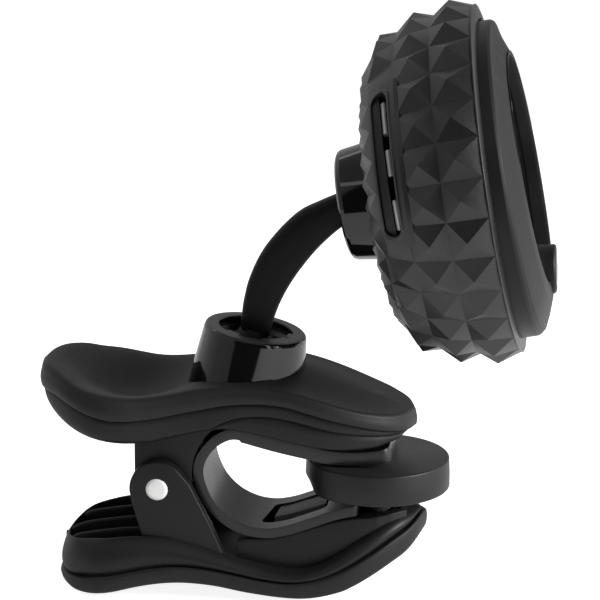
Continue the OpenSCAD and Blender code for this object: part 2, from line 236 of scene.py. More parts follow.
def revolve(profile, axes, steps, centre=(0, 0), **finish):
    loops = [turned(profile, 2 * math.pi * i / steps, centre) for i in range(steps)]
    return rings(loops, axes, closed=True, **finish)


def sector(profile, axes, start, end, steps, **finish):
    """The profile turned from start to end, in degrees."""
    loops = [turned(profile, math.radians(start + (end - start) * i / steps)) for i in range(steps + 1)]
    return rings(loops, axes, **finish)


def prism(outline, y0, y1, **finish):
    """An (x, z) outline of the hinge frame carried from y0 to y1."""
    x, z = np.asarray(outline, float).T
    return rings([np.stack([x, np.full(len(x), y), z], 1) for y in (y0, y1)], PIN, **finish)


def at_station(x, y, z):
    return np.column_stack([np.full(len(y), x), y, z])


def walls(quads, offset):
    """Quads from a sheet's border edges to its copy, whose vertices come offset later."""
    border = {}
    for quad in quads:
        for start, end in zip(quad, quad[1:] + quad[:1]):
            if (end, start) in border:
                del border[end, start]
            else:
                border[start, end] = True
    return [(end, start, offset + start, offset + end) for start, end in border]


def hole_edge(keep):
    """Grid places (i, j) that touch both kept and removed cells."""
    for i in range(keep.shape[0] + 1):
        for j in range(keep.shape[1] + 1):
            around = keep[max(i - 1, 0):i + 1, max(j - 1, 0):j + 1]
            if around.any() and not around.all():
                yield i, j


def build(shell):
    bm = bmesh.new()
    verts = [bm.verts.new(p) for p in shell.points]
    bm.verts.ensure_lookup_table()
    for face in shell.faces:
        # guards against a face given twice, which bmesh refuses
        try:
            bm.faces.new([verts[i] for i in face])
        except ValueError:
            pass
    bmesh.ops.remove_doubles(bm, verts=bm.verts, dist=shell.merge)
    bmesh.ops.dissolve_degenerate(bm, edges=bm.edges, dist=1e-7)
    loose = [v for v in bm.verts if not v.link_faces]
    if loose:
        bmesh.ops.delete(bm, geom=loose, context="VERTS")
    bmesh.ops.recalc_face_normals(bm, faces=bm.faces)
    if shell.bevel:
        limit = math.radians(shell.bevel_angle)
        edges = [e for e in bm.edges if len(e.link_faces) == 2 and e.calc_face_angle(0) > limit]
        if edges:
            bmesh.ops.bevel(bm, geom=edges, offset=shell.bevel * MM, segments=shell.bevel_steps,
                            profile=0.5, affect="EDGES", clamp_overlap=True)
            bmesh.ops.dissolve_degenerate(bm, edges=bm.edges, dist=1e-7)
            bmesh.ops.recalc_face_normals(bm, faces=bm.faces)
    return bm


def piece(name, body, stand, materials, shells, sharp):
    """Joins shells into one object that rides on body and stands for a CAD node.

    Edges steeper than sharp degrees stay sharp.
    """
    points, faces, slots = [], [], []
    for shell in shells:
        base = len(points)
        bm = build(shell)
        bm.verts.index_update()
        points += [v.co.copy() for v in bm.verts]
        faces += [[v.index + base for v in f.verts] for f in bm.faces]
        slots += [shell.material] * len(bm.faces)
        bm.free()
    mesh = bpy.data.meshes.new(name)
    mesh.from_pydata(points, [], faces)
    mesh.polygons.foreach_set("material_index", slots)
    mesh.polygons.foreach_set("use_smooth", [True] * len(faces))
    mesh.update()
    mesh.set_sharp_from_angle(angle=math.radians(sharp))
    for material in materials:
        mesh.materials.append(MATERIALS[material])
    ob = bpy.data.objects.new(name, mesh)
    bpy.context.scene.collection.objects.link(ob)
    if body:
        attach(ob, body)
    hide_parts(stand)
    return ob


# ------------------------------------------------------------------ node helpers

MATERIALS = {}


def plug(tree, socket, value):
    """Links another node's output to the socket, or sets the socket's own value."""
    if hasattr(value, "is_output"):
        tree.links.new(value, socket)
    elif socket.type == "RGBA":
        socket.default_value = (*value, 1)
    else:
        socket.default_value = value


def add_node(tree, kind, inputs=None, **settings):
    """Adds a node; inputs maps a socket's name or index to what it takes."""
    node = tree.nodes.new(kind)
    for name, value in settings.items():
        setattr(node, name, value)
    for key, value in (inputs or {}).items():
        plug(tree, node.inputs[key], value)
    return node


class Mat:
    """A material being built; each method adds a node and gives its output."""

    SOCKETS = {"color": "Base Color", "rough": "Roughness", "metal": "Metallic", "normal": "Normal",
               "spec": "Specular IOR Level", "coat": "Coat Weight", "coat_rough": "Coat Roughness",
               "sheen": "Sheen Weight", "sheen_rough": "Sheen Roughness",
               "subsurface": "Subsurface Weight", "glow": "Emission Color",
               "glow_strength": "Emission Strength"}

    def __init__(self, name):
        self.material = MATERIALS[name] = bpy.data.materials.new(name)
        self.material.use_nodes = True
        self.tree = self.material.node_tree
        self.tree.nodes.clear()
        self.surface = self.node("ShaderNodeBsdfPrincipled")
        self.node("ShaderNodeOutputMaterial", {0: self.surface.outputs[0]})
        self.place = self.node("ShaderNodeTexCoord").outputs["Object"]

    def node(self, kind, inputs=None, **settings):
        return add_node(self.tree, kind, inputs, **settings)

    def set(self, **values):
        for name, value in values.items():
            plug(self.tree, self.surface.inputs[self.SOCKETS[name]], value)

    def noise(self, per_mm, detail=2.0, rough=0.5, stretch=None, distortion=0.0):
        place = self.place
        if stretch:
            place = self.node("ShaderNodeMapping", {"Vector": place, "Scale": stretch}).outputs[0]
        return self.node("ShaderNodeTexNoise", {
            "Vector": place, "Scale": per_mm * 1000.0, "Detail": detail, "Roughness": rough,
            "Distortion": distortion}).outputs[0]

    def voronoi(self, per_mm):
        inputs = {"Vector": self.place, "Scale": per_mm * 1000.0}
        return self.node("ShaderNodeTexVoronoi", inputs).outputs["Distance"]

    def wave(self, per_mm, axis, distortion=0.0):
        inputs = {"Vector": self.place, "Scale": per_mm * 1000.0, "Distortion": distortion}
        return self.node("ShaderNodeTexWave", inputs, bands_direction=axis).outputs["Fac"]

    def remap(self, value, span=(0.0, 1.0), to=(0.0, 1.0)):
        return self.node("ShaderNodeMapRange", {
            "Value": value, "From Min": span[0], "From Max": span[1], "To Min": to[0],
            "To Max": to[1]}).outputs["Result"]

    def calc(self, operation, a, b):
        return self.node("ShaderNodeMath", {0: a, 1: b}, operation=operation).outputs[0]

    def mix(self, factor, a, b):
        return self.node("ShaderNodeMix", {0: factor, 6: a, 7: b}, data_type="RGBA").outputs[2]

    def bump(self, height, strength, depth_mm):
        inputs = {"Strength": strength, "Distance": depth_mm * MM, "Height": height}
        return self.node("ShaderNodeBump", inputs).outputs[0]

    def worn_edge(self):
        """Near 1 along convex edges, where handling has worn the surface."""
        geometry = self.node("ShaderNodeNewGeometry")
        return self.remap(geometry.outputs["Pointiness"], span=(0.50, 0.5625))


# ------------------------------------------------------------------ kinds of material
# base is the mean colour; grain counts texture cells per mm and grain_height is in mm


def soft_touch(name, base, rough, grain, grain_height, speck, spec):
    """Matt rubber or soft-touch paint: fine grain, faint cloudiness, rubbed edges."""
    m = Mat(name)
    fine = m.noise(grain, detail=3, rough=0.62)
    cloud = m.noise(0.09, detail=3)
    pits = m.voronoi(grain * 1.1)
    worn = m.worn_edge()
    base = np.array(base)
    color = m.mix(m.remap(cloud, span=(0.35, 0.65)), base * 0.82, base * 1.16)
    specks = m.calc("MULTIPLY", m.remap(fine, span=(0.54, 0.72), to=(0, speck)), 1.0)
    color = m.mix(specks, color, base * 2.1)
    color = m.mix(m.calc("MULTIPLY", worn, 0.35), color, base * 1.9)
    roughness = m.calc("ADD", m.remap(cloud, span=(0.3, 0.7), to=(rough - 0.05, rough + 0.05)),
                       m.remap(fine, span=(0.3, 0.7), to=(-0.05, 0.05)))
    roughness = m.calc("SUBTRACT", roughness, m.calc("MULTIPLY", worn, 0.07))
    height = m.calc("ADD", fine, m.calc("MULTIPLY", pits, 0.35))
    m.set(color=color, rough=roughness, spec=spec, sheen=0.03, sheen_rough=0.5,
          normal=m.bump(height, strength=0.35, depth_mm=grain_height))


def moulded(name, base, rough, spec=0.4, grain=5.0):
    """Moulded plastic: very fine spark texture, slow flow marks, lighter edges."""
    m = Mat(name)
    fine = m.noise(grain)
    flow = m.noise(0.12, detail=4, rough=0.55, distortion=0.6)
    worn = m.worn_edge()
    base = np.array(base)
    color = m.mix(m.remap(flow, span=(0.3, 0.7)), base * 0.85, base * 1.15)
    color = m.mix(m.calc("MULTIPLY", worn, 0.3), color, base * 1.8)
    roughness = m.calc("ADD", m.remap(flow, span=(0.3, 0.7), to=(rough - 0.04, rough + 0.04)),
                       m.remap(fine, span=(0.3, 0.7), to=(-0.04, 0.04)))
    m.set(color=color, rough=roughness, spec=spec, coat_rough=0.08,
          normal=m.bump(fine, strength=0.3, depth_mm=0.006))


def glossy(name, base, rough, spec):
    """Polished plastic: faint waviness of the moulding, dust and hairline scratches."""
    m = Mat(name)
    waviness = m.noise(0.22, rough=0.4)
    dust = m.noise(2.6, detail=4, rough=0.65)
    hair = m.noise(1.4, stretch=(1, 1, 9))
    base = np.array(base)
    color = m.mix(m.remap(dust, span=(0.6, 0.8), to=(0, 0.5)), base, base * 3 + 0.004)
    roughness = m.calc("ADD", m.remap(dust, span=(0.5, 0.85), to=(rough, rough + 0.05)),
                       m.remap(hair, span=(0.6, 0.8), to=(0, 0.03)))
    m.set(color=color, rough=roughness, spec=spec, coat=0.3, coat_rough=0.03,
          normal=m.bump(waviness, strength=0.25, depth_mm=0.02))


def metal(name, base, rough, brushed=None, metallic=1.0):
    """Metal with a fine grain, stretched where it is brushed, and patches of tarnish."""
    m = Mat(name)
    grain = m.noise(1.6, detail=4, rough=0.6, stretch=brushed)
    tarnish = m.noise(0.2, detail=3)
    base = np.array(base)
    color = m.mix(m.remap(tarnish, span=(0.35, 0.7)), base, base * 0.8)
    roughness = m.calc("ADD", m.remap(grain, span=(0.3, 0.7), to=(rough - 0.06, rough + 0.08)),
                       m.remap(tarnish, span=(0.4, 0.7), to=(0, 0.08)))
    m.set(color=color, rough=roughness, metal=metallic,
          normal=m.bump(grain, strength=0.25, depth_mm=0.004))


def lens_material():
    m = Mat("smoked_lens")
    waviness = m.noise(0.08, rough=0.4)
    dust = m.noise(1.8, detail=4, rough=0.7)
    m.set(color=(0.032, 0.032, 0.033), rough=m.remap(dust, span=(0.45, 0.8), to=(0.05, 0.13)),
          spec=0.5, coat=0.5, coat_rough=0.03,
          normal=m.bump(waviness, strength=0.15, depth_mm=0.02))


def diffuser_material():
    m = Mat("diffuser")
    cloud = m.noise(0.5, detail=3)
    m.set(color=m.mix(cloud, (0.78, 0.78, 0.74), (0.86, 0.86, 0.83)),
          rough=m.remap(cloud, to=(0.3, 0.5)), subsurface=0.2,
          normal=m.bump(cloud, strength=0.1, depth_mm=0.01))


def board_material():
    """Green circuit board with wavy tracks in low relief."""
    m = Mat("board")
    tracks = m.wave(0.55, "Y", distortion=2.2)
    cloud = m.noise(0.6, detail=3)
    lines = m.remap(tracks, span=(0.82, 0.9))
    color = m.mix(lines, (0.010, 0.10, 0.035), (0.016, 0.19, 0.07))
    color = m.mix(m.remap(cloud, span=(0.5, 0.8), to=(0, 0.3)), color, (0.008, 0.07, 0.03))
    m.set(color=color, rough=m.remap(cloud, to=(0.25, 0.42)), spec=0.5,
          normal=m.bump(lines, strength=0.3, depth_mm=0.03))


def display_material():
    """Grey-green panel divided into a fine grid of cells."""
    m = Mat("display")
    across, upright = m.wave(1.6, "Y"), m.wave(1.6, "Z")
    cloud = m.noise(0.3)
    cell = m.calc("MULTIPLY", m.remap(across, span=(0.05, 0.2)), m.remap(upright, span=(0.05, 0.2)))
    m.set(color=m.mix(cell, (0.10, 0.115, 0.105), (0.15, 0.17, 0.155)),
          rough=m.remap(cloud, to=(0.16, 0.26)), spec=0.5,
          normal=m.bump(cell, strength=0.1, depth_mm=0.01))


# ------------------------------------------------------------------ the materials

soft_touch("soft_grip", (0.0126, 0.0126, 0.0132), rough=0.56, grain=3.4, grain_height=0.008,
           speck=0.10, spec=0.30)
soft_touch("bumper_rubber", (0.0055, 0.0055, 0.006), rough=0.37, grain=2.6, grain_height=0.02,
           speck=0.34, spec=0.68)
soft_touch("pad_rubber", (0.0048, 0.0048, 0.0052), rough=0.45, grain=2.8, grain_height=0.006,
           speck=0.15, spec=0.42)
moulded("lever_plastic", (0.0088, 0.0088, 0.0095), rough=0.46, spec=0.30)
moulded("neck_plastic", (0.0042, 0.0042, 0.0045), rough=0.5, spec=0.2)
soft_touch("bezel_plastic", (0.0068, 0.0068, 0.0072), rough=0.5, grain=4.2, grain_height=0.006,
           speck=0.1, spec=0.26)
moulded("shell_plastic", (0.010, 0.010, 0.0105), rough=0.5)
glossy("gloss_black", (0.004, 0.004, 0.0045), rough=0.045, spec=0.5)
moulded("gloss_black_rim", (0.05, 0.05, 0.051), rough=0.38, spec=0.5)
moulded("black_spring", (0.0065, 0.0065, 0.007), rough=0.32, spec=0.55, grain=3.0)
moulded("grey_plastic", (0.19, 0.19, 0.195), rough=0.45)
moulded("sleeve_plastic", (0.005, 0.005, 0.0055), rough=0.34)
# near-black and barely shiny: painted shade for the channel behind the battery door's slot
moulded("painted_shade_black", (0.0015, 0.0015, 0.0016), rough=0.6, spec=0.1)
# light grey of the lug in the spring's window: painted light, for the lit seat seen through it
moulded("painted_light_shelf_grey", (0.10, 0.10, 0.102), rough=0.5)
moulded("lining_black", (0.003, 0.003, 0.0032), rough=0.6, spec=0.15)
moulded("switch_plastic", (0.02, 0.02, 0.02), rough=0.4)
metal("tray_metal", (0.55, 0.55, 0.55), rough=0.4, brushed=(1, 8, 1), metallic=0.5)
metal("pin_steel", (0.93, 0.93, 0.92), rough=0.4, metallic=0.12)
metal("cell_steel", (0.72, 0.72, 0.71), rough=0.24, brushed=(1, 1, 12))
metal("contact_metal", (0.74, 0.70, 0.60), rough=0.26)
metal("screw_steel", (0.60, 0.60, 0.60), rough=0.3)
metal("brass_disc", (0.72, 0.52, 0.22), rough=0.3)
lens_material()
diffuser_material()
board_material()
display_material()

# each CAD node wears the material named after its slot
for node_name, ob in NODES.items():
    ob.data.materials.clear()
    ob.data.materials.append(MATERIALS[SLOT_OF[node_name]])
    ob.data.polygons.foreach_set("use_smooth", [True] * len(ob.data.polygons))
    ob.data.set_sharp_from_angle(angle=math.radians(32))

# ------------------------------------------------------------------ lever plans


class Plan:
    """A lever's outline seen from above, its inward offsets and its spine on y = 0.

    half is one side of the outline, as (x, y) from the thumb end to the jaw; the spine stops
    thumb_gap and jaw_gap short of the ends.
    """

    def __init__(self, half, thumb_gap, jaw_gap):
        half = resample(spline(half, 24), 120, ease=0.35)
        half[0, 1] = half[-1, 1] = 0.0
        self.outline = np.concatenate([half, half[1:-1][::-1] * [1, -1]])
        along = np.roll(self.outline, -1, 0) - np.roll(self.outline, 1, 0)
        along /= np.linalg.norm(along, axis=1)[:, None]
        self.inward = np.stack([along[:, 1], -along[:, 0]], 1)
        self.x = self.outline[:, 0]
        x0, x1 = half[0, 0], half[-1, 0]
        start, end = x0 + thumb_gap, x1 - jaw_gap
        spine = start + (self.x - x0) / (x1 - x0) * (end - start)
        self.spine = np.stack([spine, np.zeros(len(spine))], 1)

    def at(self, inset):
        """The outline moved inwards by a distance, or by one distance per point."""
        inset = np.asarray(inset, float)
        return self.outline + self.inward * (inset[:, None] if inset.ndim else inset)

    def inner(self, inset, share):
        """From the spine (share 0) out to the inset outline (share 1)."""
        return self.spine + share * (self.at(inset) - self.spine)


def lift(xy, height):
    """Raises a plan ring to height(x)."""
    return np.column_stack([xy, height(xy[:, 0])])


# ------------------------------------------------------------------ upper lever
# (x, y) outline, then heights z over x

UPPER = Plan([(-17.9, 0), (-17.3, 3.8), (-16, 6.5), (-14, 9.1), (-12, 11.0), (-9.5, 12.4),
              (-7, 12.9), (-4, 12.6), (0, 11.5), (4, 10.7), (9, 10.4), (15, 10.5), (20, 10.6),
              (24, 10.4), (27, 9.8), (30, 8.65), (32.6, 6.95), (34.8, 4.1), (35.95, 0)],
             thumb_gap=8.0, jaw_gap=6.5)
upper_crest = curve([
    (-18.4, 16.4), (-16.6, 16.72), (-15, 16.65), (-13, 16.1), (-11, 15.32), (-9, 14.85),
    (-5, 14.2), (-2, 14.05), (2, 14.5), (6, 15.3), (11, 15.85), (16, 15.8), (20, 15.15),
    (24, 14.0), (28, 12.75), (31, 11.95), (33.5, 11.4), (36.2, 11.05)])
upper_seam = curve([
    (-18.3, 12.6), (-16, 12.9), (-14.5, 12.95), (-13.3, 12.75), (-11, 12.15), (-9, 11.6),
    (-7, 11.15), (-5, 10.9), (-2, 10.95), (0.8, 11.25), (3.6, 11.8), (6.5, 12.4), (9.3, 13.0),
    (12.1, 13.35), (14.8, 13.5), (16.9, 13.4), (19, 13.1), (21.8, 12.3), (24.6, 11.5),
    (27.4, 10.7), (30.2, 9.85), (32.5, 9.2), (34.5, 8.6), (36, 8.2)])
upper_under = curve([
    (-17.9, 11.6), (-17.0, 10.8), (-16.0, 10.0), (-14, 9.0), (-12, 8.3), (-9, 7.6), (-5, 7.08),
    (-1, 7.1), (3, 8.0), (6, 8.8), (8, 9.15), (10, 9.2), (14, 8.65), (18, 7.85), (22, 7.1),
    (26, 6.65), (30, 6.6), (32.5, 6.95), (35.5, 7.5)])
# lower edge of the moulding's upper tier; a second, narrower tier starts under it at x = 8
upper_step = curve([
    (8.0, 9.4), (9.7, 10.35), (11.9, 11.1), (14.9, 11.4), (17.5, 11.25), (20.3, 10.7),
    (23.1, 9.95), (25.9, 9.3), (28.6, 8.8), (31.4, 8.35), (33.5, 8.0), (36, 7.75)])
# depth of the hollow in the cover's top; negative where the top is crowned
dish = linear([(-18, 0.0), (-15.5, 0.35), (-13, 1.2), (-10, 2.3), (-6.5, 3.0), (-3, 2.8),
               (0, 2.1), (3, 1.15), (6, 0.3), (9, -0.35), (13, -0.9), (20, -1.0), (25, -0.8),
               (30, -0.45), (36, -0.1)])
# radii of the cover's lower lip and crest, and of the moulding's lower edge
lip_radius = linear([(-18, 1.05), (-14, 0.95), (-10, 0.55), (-6, 0.42), (36, 0.40)])
crest_radius = linear([(-18, 1.15), (-6, 1.15), (2, 0.95), (9, 0.7), (36, 0.62)])
upper_edge_radius = linear([(-18, 2.1), (-9, 2.2), (-2, 1.9), (4, 1.1), (9, 0.55), (36, 0.5)])
upper_setback = linear([(-18, 0.6), (-13, 0.75), (-6, 0.85), (36, 0.85)])
COVER_BULGE = 0.06  # inset of the cover's wall where its lower lip starts


def upper_cover():
    plan, loops = UPPER, []
    crest_r, lip = crest_radius(plan.x), lip_radius(plan.x)
    crest_inset = crest_r + 0.22
    # top face, from the spine out to the crest
    for share in np.r_[0.0, np.linspace(0.08, 1.0, 15)]:
        loops.append(lift(plan.inner(crest_inset + 0.05, share),
                          lambda x: upper_crest(x) - dish(x) * (1 - share * share) ** 2))
    # crest roll
    for a in np.linspace(90, 4, 9)[1:]:
        loops.append(lift(plan.at(crest_inset - crest_r * cosd(a)),
                          lambda x: upper_crest(x) - crest_r * (1 - sind(a))))
    # bulging side wall
    x = plan.at(crest_inset - crest_r)[:, 0]
    top, bottom = upper_crest(x) - crest_r, upper_seam(x) + lip
    for down, inset in ((0.25, 0.10), (0.5, 0.02), (0.75, 0.0), (1.0, COVER_BULGE)):
        loops.append(np.column_stack([plan.at(inset), top + (bottom - top) * down]))
    # lower lip
    for a in (-25, -50, -75, -90):
        loops.append(lift(plan.at(COVER_BULGE + lip * 0.9 * (1 - cosd(a))),
                          lambda x: upper_seam(x) + lip + lip * sind(a)))
    # underside, back to the spine
    for inset, rise in ((0.3, 0.0), (0.7, 0.02), (0.9, 0.25)):
        loops.append(lift(plan.at(COVER_BULGE + lip * 0.9 + inset), lambda x: upper_seam(x) + rise))
    for share in (0.5, 0.0):
        loops.append(lift(plan.inner(1.5, share), lambda x: upper_seam(x) + 0.25))
    return rings(loops, PIN, cap=False)


def under_height(x):
    return np.minimum(upper_under(x), upper_seam(x) - 0.6)


def step_height(x):
    """Bottom of the upper tier, which is the underside itself at the thumb end."""
    under, t = under_height(x), smooth(6.8, 8.8, x)
    return np.where(x < 8.0, under, np.maximum(upper_step(x), under)) * t + under * (1 - t)


def upper_body():
    plan, loops = UPPER, []
    base = upper_setback(plan.x)

    def lay(inset, z):
        loops.append(np.column_stack([plan.at(inset), z]))

    # top, under the cover
    for share in (0.0, 0.5, 1.0):
        loops.append(lift(plan.inner(base + 1.1, share), lambda x: upper_seam(x) + 0.22))
    for inset, rise in ((0.55, 0.04), (0.3, -0.02), (0.12, -0.14), (0.04, -0.3)):
        loops.append(lift(plan.at(base + inset),
                          lambda x: np.maximum(upper_seam(x) + rise, step_height(x) + 0.02)))
    # wall and rounded lower edge of the upper tier
    x = plan.at(base)[:, 0]
    wall = np.maximum(upper_seam(x) - step_height(x) - 0.35, 0.25)
    edge_r = np.minimum(upper_edge_radius(plan.x), wall)
    start, end = upper_seam(x) - 0.35, step_height(x) + edge_r
    for down in (0.35, 0.7):
        lay(base - 0.02, start + (end - start) * down)
    for a in np.linspace(0, 90, 10):
        loops.append(lift(plan.at(base + edge_r * (1 - cosd(a))),
                          lambda x: step_height(x) + edge_r * (1 - sind(a))))
    # lower tier, which has no height at the thumb end
    grow = smooth(7.2, 10.0, plan.x)
    inset = base + edge_r + 0.12 * grow
    x = plan.at(inset)[:, 0]
    top = step_height(x)
    tall = np.maximum(top - under_height(x), 0.0)
    lay(inset, top + 0.04 * grow)
    back = base + 0.50 * grow + (edge_r + 0.14) * (1 - grow)
    foot_r = np.minimum(0.55, 0.45 * tall)
    lay(back + 0.12 * grow, top - 0.05 * np.minimum(tall, 1))
    start = top - 0.25 * np.minimum(tall, 1)
    lay(back, start)
    foot = under_height(plan.at(back)[:, 0])
    lay(back, foot + foot_r + (start - foot - foot_r) * 0.5)
    for a in np.linspace(0, 90, 7):
        loops.append(lift(plan.at(back + 0.02 + foot_r * (1 - cosd(a))),
                          lambda x: under_height(x) + foot_r * (1 - sind(a))))
    for share in (0.8, 0.55, 0.25, 0.0):
        loops.append(lift(plan.inner(back + 0.04 + foot_r, share), under_height))
    return rings(loops, PIN, cap=False)


def knuckle():
    """Hinge block round the pin, under the upper lever."""
    outline = [[-3.5, 8.0]] + arc(0, 0, 3.5, 180, 318, 22) + [
        [3.6, -1.7], [4.35, -0.4], [4.72, 0.9], [4.78, 2.4], [5.0, 3.9], [5.4, 5.1], [6.0, 6.3],
        [6.5, 7.15], [7.2, 7.95], [8.1, 8.65], [9.2, 9.3]]
    return prism(outline, -6.6, 6.6, bevel=0.22, bevel_steps=3, bevel_angle=24)


piece("upper_grip_cover_skin", "upper_arm", "upper_grip_cover", ["soft_grip"], [upper_cover()],
      sharp=50)
piece("upper_lever_moulding", "upper_arm", "upper_lever", ["lever_plastic"],
      [upper_body(), knuckle()], sharp=50)

# ------------------------------------------------------------------ lower lever

PAD_X = 30.4  # middle of the jaw pad and its stud
BALL_Z, BALL_RADIUS, CUP_RADIUS = -2.3, 2.7, 3.15  # the stud's ball and the hollow under it

LOWER = Plan([(-15.3, 0), (-14.9, 3.4), (-13.7, 6.7), (-12, 9.2), (-9.5, 11.1), (-6.5, 11.8),
              (-3, 11.6), (1, 11.1), (6, 10.8), (14, 10.7), (21, 10.8), (26, 10.4), (30, 9.1),
              (33.4, 6.95), (36.1, 4.1), (37.55, 0)], thumb_gap=7.5, jaw_gap=6.0)
lower_rim = curve([
    (-15.8, -10.6), (-15.0, -10.1), (-14.3, -9.5), (-13.4, -8.9), (-12.4, -8.4), (-11, -8.0),
    (-8, -7.45), (-4, -6.95), (1, -7.0), (5, -7.8), (9, -8.95), (13, -10.1), (17.5, -10.95),
    (21, -10.85), (24.5, -9.4), (28, -7.1), (31.5, -4.75), (33.5, -3.75), (35.2, -3.45),
    (37.8, -3.4)])
lower_seam = curve([
    (-15.8, -14.25), (-14, -13.95), (-11, -13.3), (-6.5, -12.55), (-2, -11.6), (2, -11.05),
    (6, -11.1), (10.5, -11.75), (15, -12.55), (19, -12.8), (22.5, -12.3), (26, -10.95),
    (29.5, -9.0), (33, -6.85), (35.2, -5.6), (36.6, -4.5), (37.8, -3.85)])
lower_foot = curve([
    (-15.8, -15.5), (-13.5, -15.65), (-11, -15.55), (-7, -14.95), (-2, -13.75), (3, -13.2),
    (8, -13.45), (13, -14.3), (18, -14.8), (22, -14.7), (26, -13.8), (28, -12.95), (30, -11.9),
    (33, -10.2), (34.8, -9.2), (36.2, -8.0), (37.8, -6.5)])
foot_radius = linear([(-16, 1.3), (-12, 1.0), (-4, 0.75), (8, 0.65), (30, 0.7), (38, 0.9)])
trough_depth = linear([
    (-16, 1.3), (-13.5, 2.7), (-11, 3.1), (-4, 3.1), (2, 2.3), (9, 1.6), (14, 1.3), (28, 1.3),
    (32, 1.5), (34.5, 1.3), (36, 0.7), (38, 0.4)])
# side wall of the lower moulding: (inset, share of the way up from the seam to the rim)
LOWER_WALL = [
    (1.12, 0.03), (0.92, 0.07), (0.62, 0.14), (0.42, 0.24), (0.36, 0.36), (0.42, 0.48),
    (0.58, 0.60), (0.82, 0.71), (1.12, 0.81), (1.45, 0.89), (1.78, 0.95), (2.08, 0.985),
    (2.34, 1.0), (2.58, 0.985), (2.78, 0.94)]
# top of the platform under the spring's lower arm
seat_top = curve([
    (11.2, -7.75), (12.6, -7.55), (14.6, -7.45), (16.5, -7.2), (18.3, -6.72), (20.1, -6.1),
    (22.2, -5.35), (24.3, -4.6), (26.3, -4.05), (28.1, -3.7), (29.4, -3.65), (30.4, -3.55),
    (31.6, -3.4), (33.2, -3.15), (34.6, -3.1), (35.6, -3.4)])


def lower_cover():
    plan, loops = LOWER, []
    # top, from the spine out to the seam, with a small rounded edge
    for share in (0.0, 0.5):
        loops.append(lift(plan.inner(1.7, share), lambda x: lower_seam(x) - 0.25))
    for inset, rise in ((1.7, -0.25), (1.2, -0.02), (0.6, 0.0)):
        loops.append(lift(plan.at(inset), lambda x: lower_seam(x) + rise))
    for a in (90, 60, 30, 5):
        loops.append(lift(plan.at(0.08 + 0.36 * (1 - cosd(a))),
                          lambda x: lower_seam(x) - 0.38 + 0.38 * sind(a)))
    # side wall
    height = np.maximum(lower_seam(plan.x) - lower_foot(plan.x), 1.2)
    foot_r = np.minimum(foot_radius(plan.x), height * 0.6)
    for down, inset in ((0.3, 0.0), (0.65, 0.0), (1.0, 0.05)):
        xy = plan.at(inset)
        top, bottom = lower_seam(xy[:, 0]) - 0.38, lower_foot(xy[:, 0]) + foot_r
        loops.append(np.column_stack([xy, top + (np.minimum(bottom, top - 0.05) - top) * down]))
    # rounded lower edge and underside
    for a in np.linspace(0, 90, 9)[1:]:
        loops.append(lift(plan.at(0.05 + foot_r * (1 - cosd(a))),
                          lambda x: lower_foot(x) + foot_r * (1 - sind(a))))
    for share in (0.97, 0.85, 0.6, 0.3, 0.0):
        loops.append(lift(plan.inner(0.05 + foot_r, share),
                          lambda x: lower_foot(x) - 0.12 * (1 - share * share)))
    return rings(loops, PIN, cap=False)


def lower_body():
    plan, loops = LOWER, []
    thin = 0.52 + 0.48 * smooth(-14.2, -9.5, plan.x)  # the rim is thinner round the thumb end
    tip = smooth(33.5, 37.0, plan.x)
    depth = trough_depth(plan.x)

    def up_wall(x, share):
        return lower_seam(x) + (lower_rim(x) - lower_seam(x)) * share

    def trough_wall(x, share):
        fall = depth - 0.06 * (lower_rim(x) - lower_seam(x))
        return np.maximum(up_wall(x, 0.94) - fall * share, lower_seam(x) + 0.3)

    # underside, against the cover
    for share in (0.0, 0.5, 1.0):
        loops.append(lift(plan.inner(1.8, share), lambda x: lower_seam(x) - 0.22))
    for inset, rise in ((1.25, -0.1), (1.05, 0.08)):
        loops.append(lift(plan.at(inset), lambda x: lower_seam(x) + rise))
    # hollowed side wall and rounded rim
    for inset, share in LOWER_WALL:
        loops.append(lift(plan.at(inset * thin + 0.35 * tip * (1 - inset / 2.8)),
                          lambda x: up_wall(x, share)))
    # trough inside the rim
    for inset, share in ((2.9, 0.25), (2.98, 0.5), (3.06, 0.75), (3.2, 0.92), (3.5, 1.0)):
        loops.append(lift(plan.at(inset * thin), lambda x: trough_wall(x, share)))
    for share in (0.75, 0.5, 0.25, 0.0):
        loops.append(lift(plan.inner(3.5 * thin, share), lambda x: np.maximum(
            lower_rim(x) - trough_depth(x), lower_seam(x) + 0.3)))
    return rings(loops, PIN, cap=False)


def rib(y, start, end=1.5, half_width=0.42):
    """A rib along the trough, arched with the rim and run into its end wall."""
    w = half_width
    section = rounded([(-w * 1.3, -3.2, 0), (-w, -0.8, 0.5), (-w * 0.8, 0, 0.40),
                       (w * 0.8, 0, 0.40), (w, -0.8, 0.5), (w * 1.3, -3.2, 0)], steps=4)
    xs = np.linspace(start, end, 30)
    tops = lower_rim(np.maximum(xs, -14.2)) - 0.10 - 0.25 * smooth(start + 1.2, start, xs)
    return rings([at_station(x, y + section[:, 0], z + section[:, 1]) for x, z in zip(xs, tops)], PIN)


def ears():
    """The two plates that carry the pin, either side of the knuckle."""
    outline = arc(0.08, 0, 4.02, 196, 33, 34) + [
        [4.62, 0.85], [6.05, -2.05], [7.5, -4.95], [9.9, -10.4], [-1.2, -10.0], [-2.3, -6.7],
        [-2.9, -4.6], [-3.35, -3.0], [-3.66, -1.9]]
    return [prism(outline, y0, y1, bevel=0.2, bevel_steps=3, bevel_angle=20)
            for y0, y1 in ((-8.75, -6.85), (6.85, 8.75))]


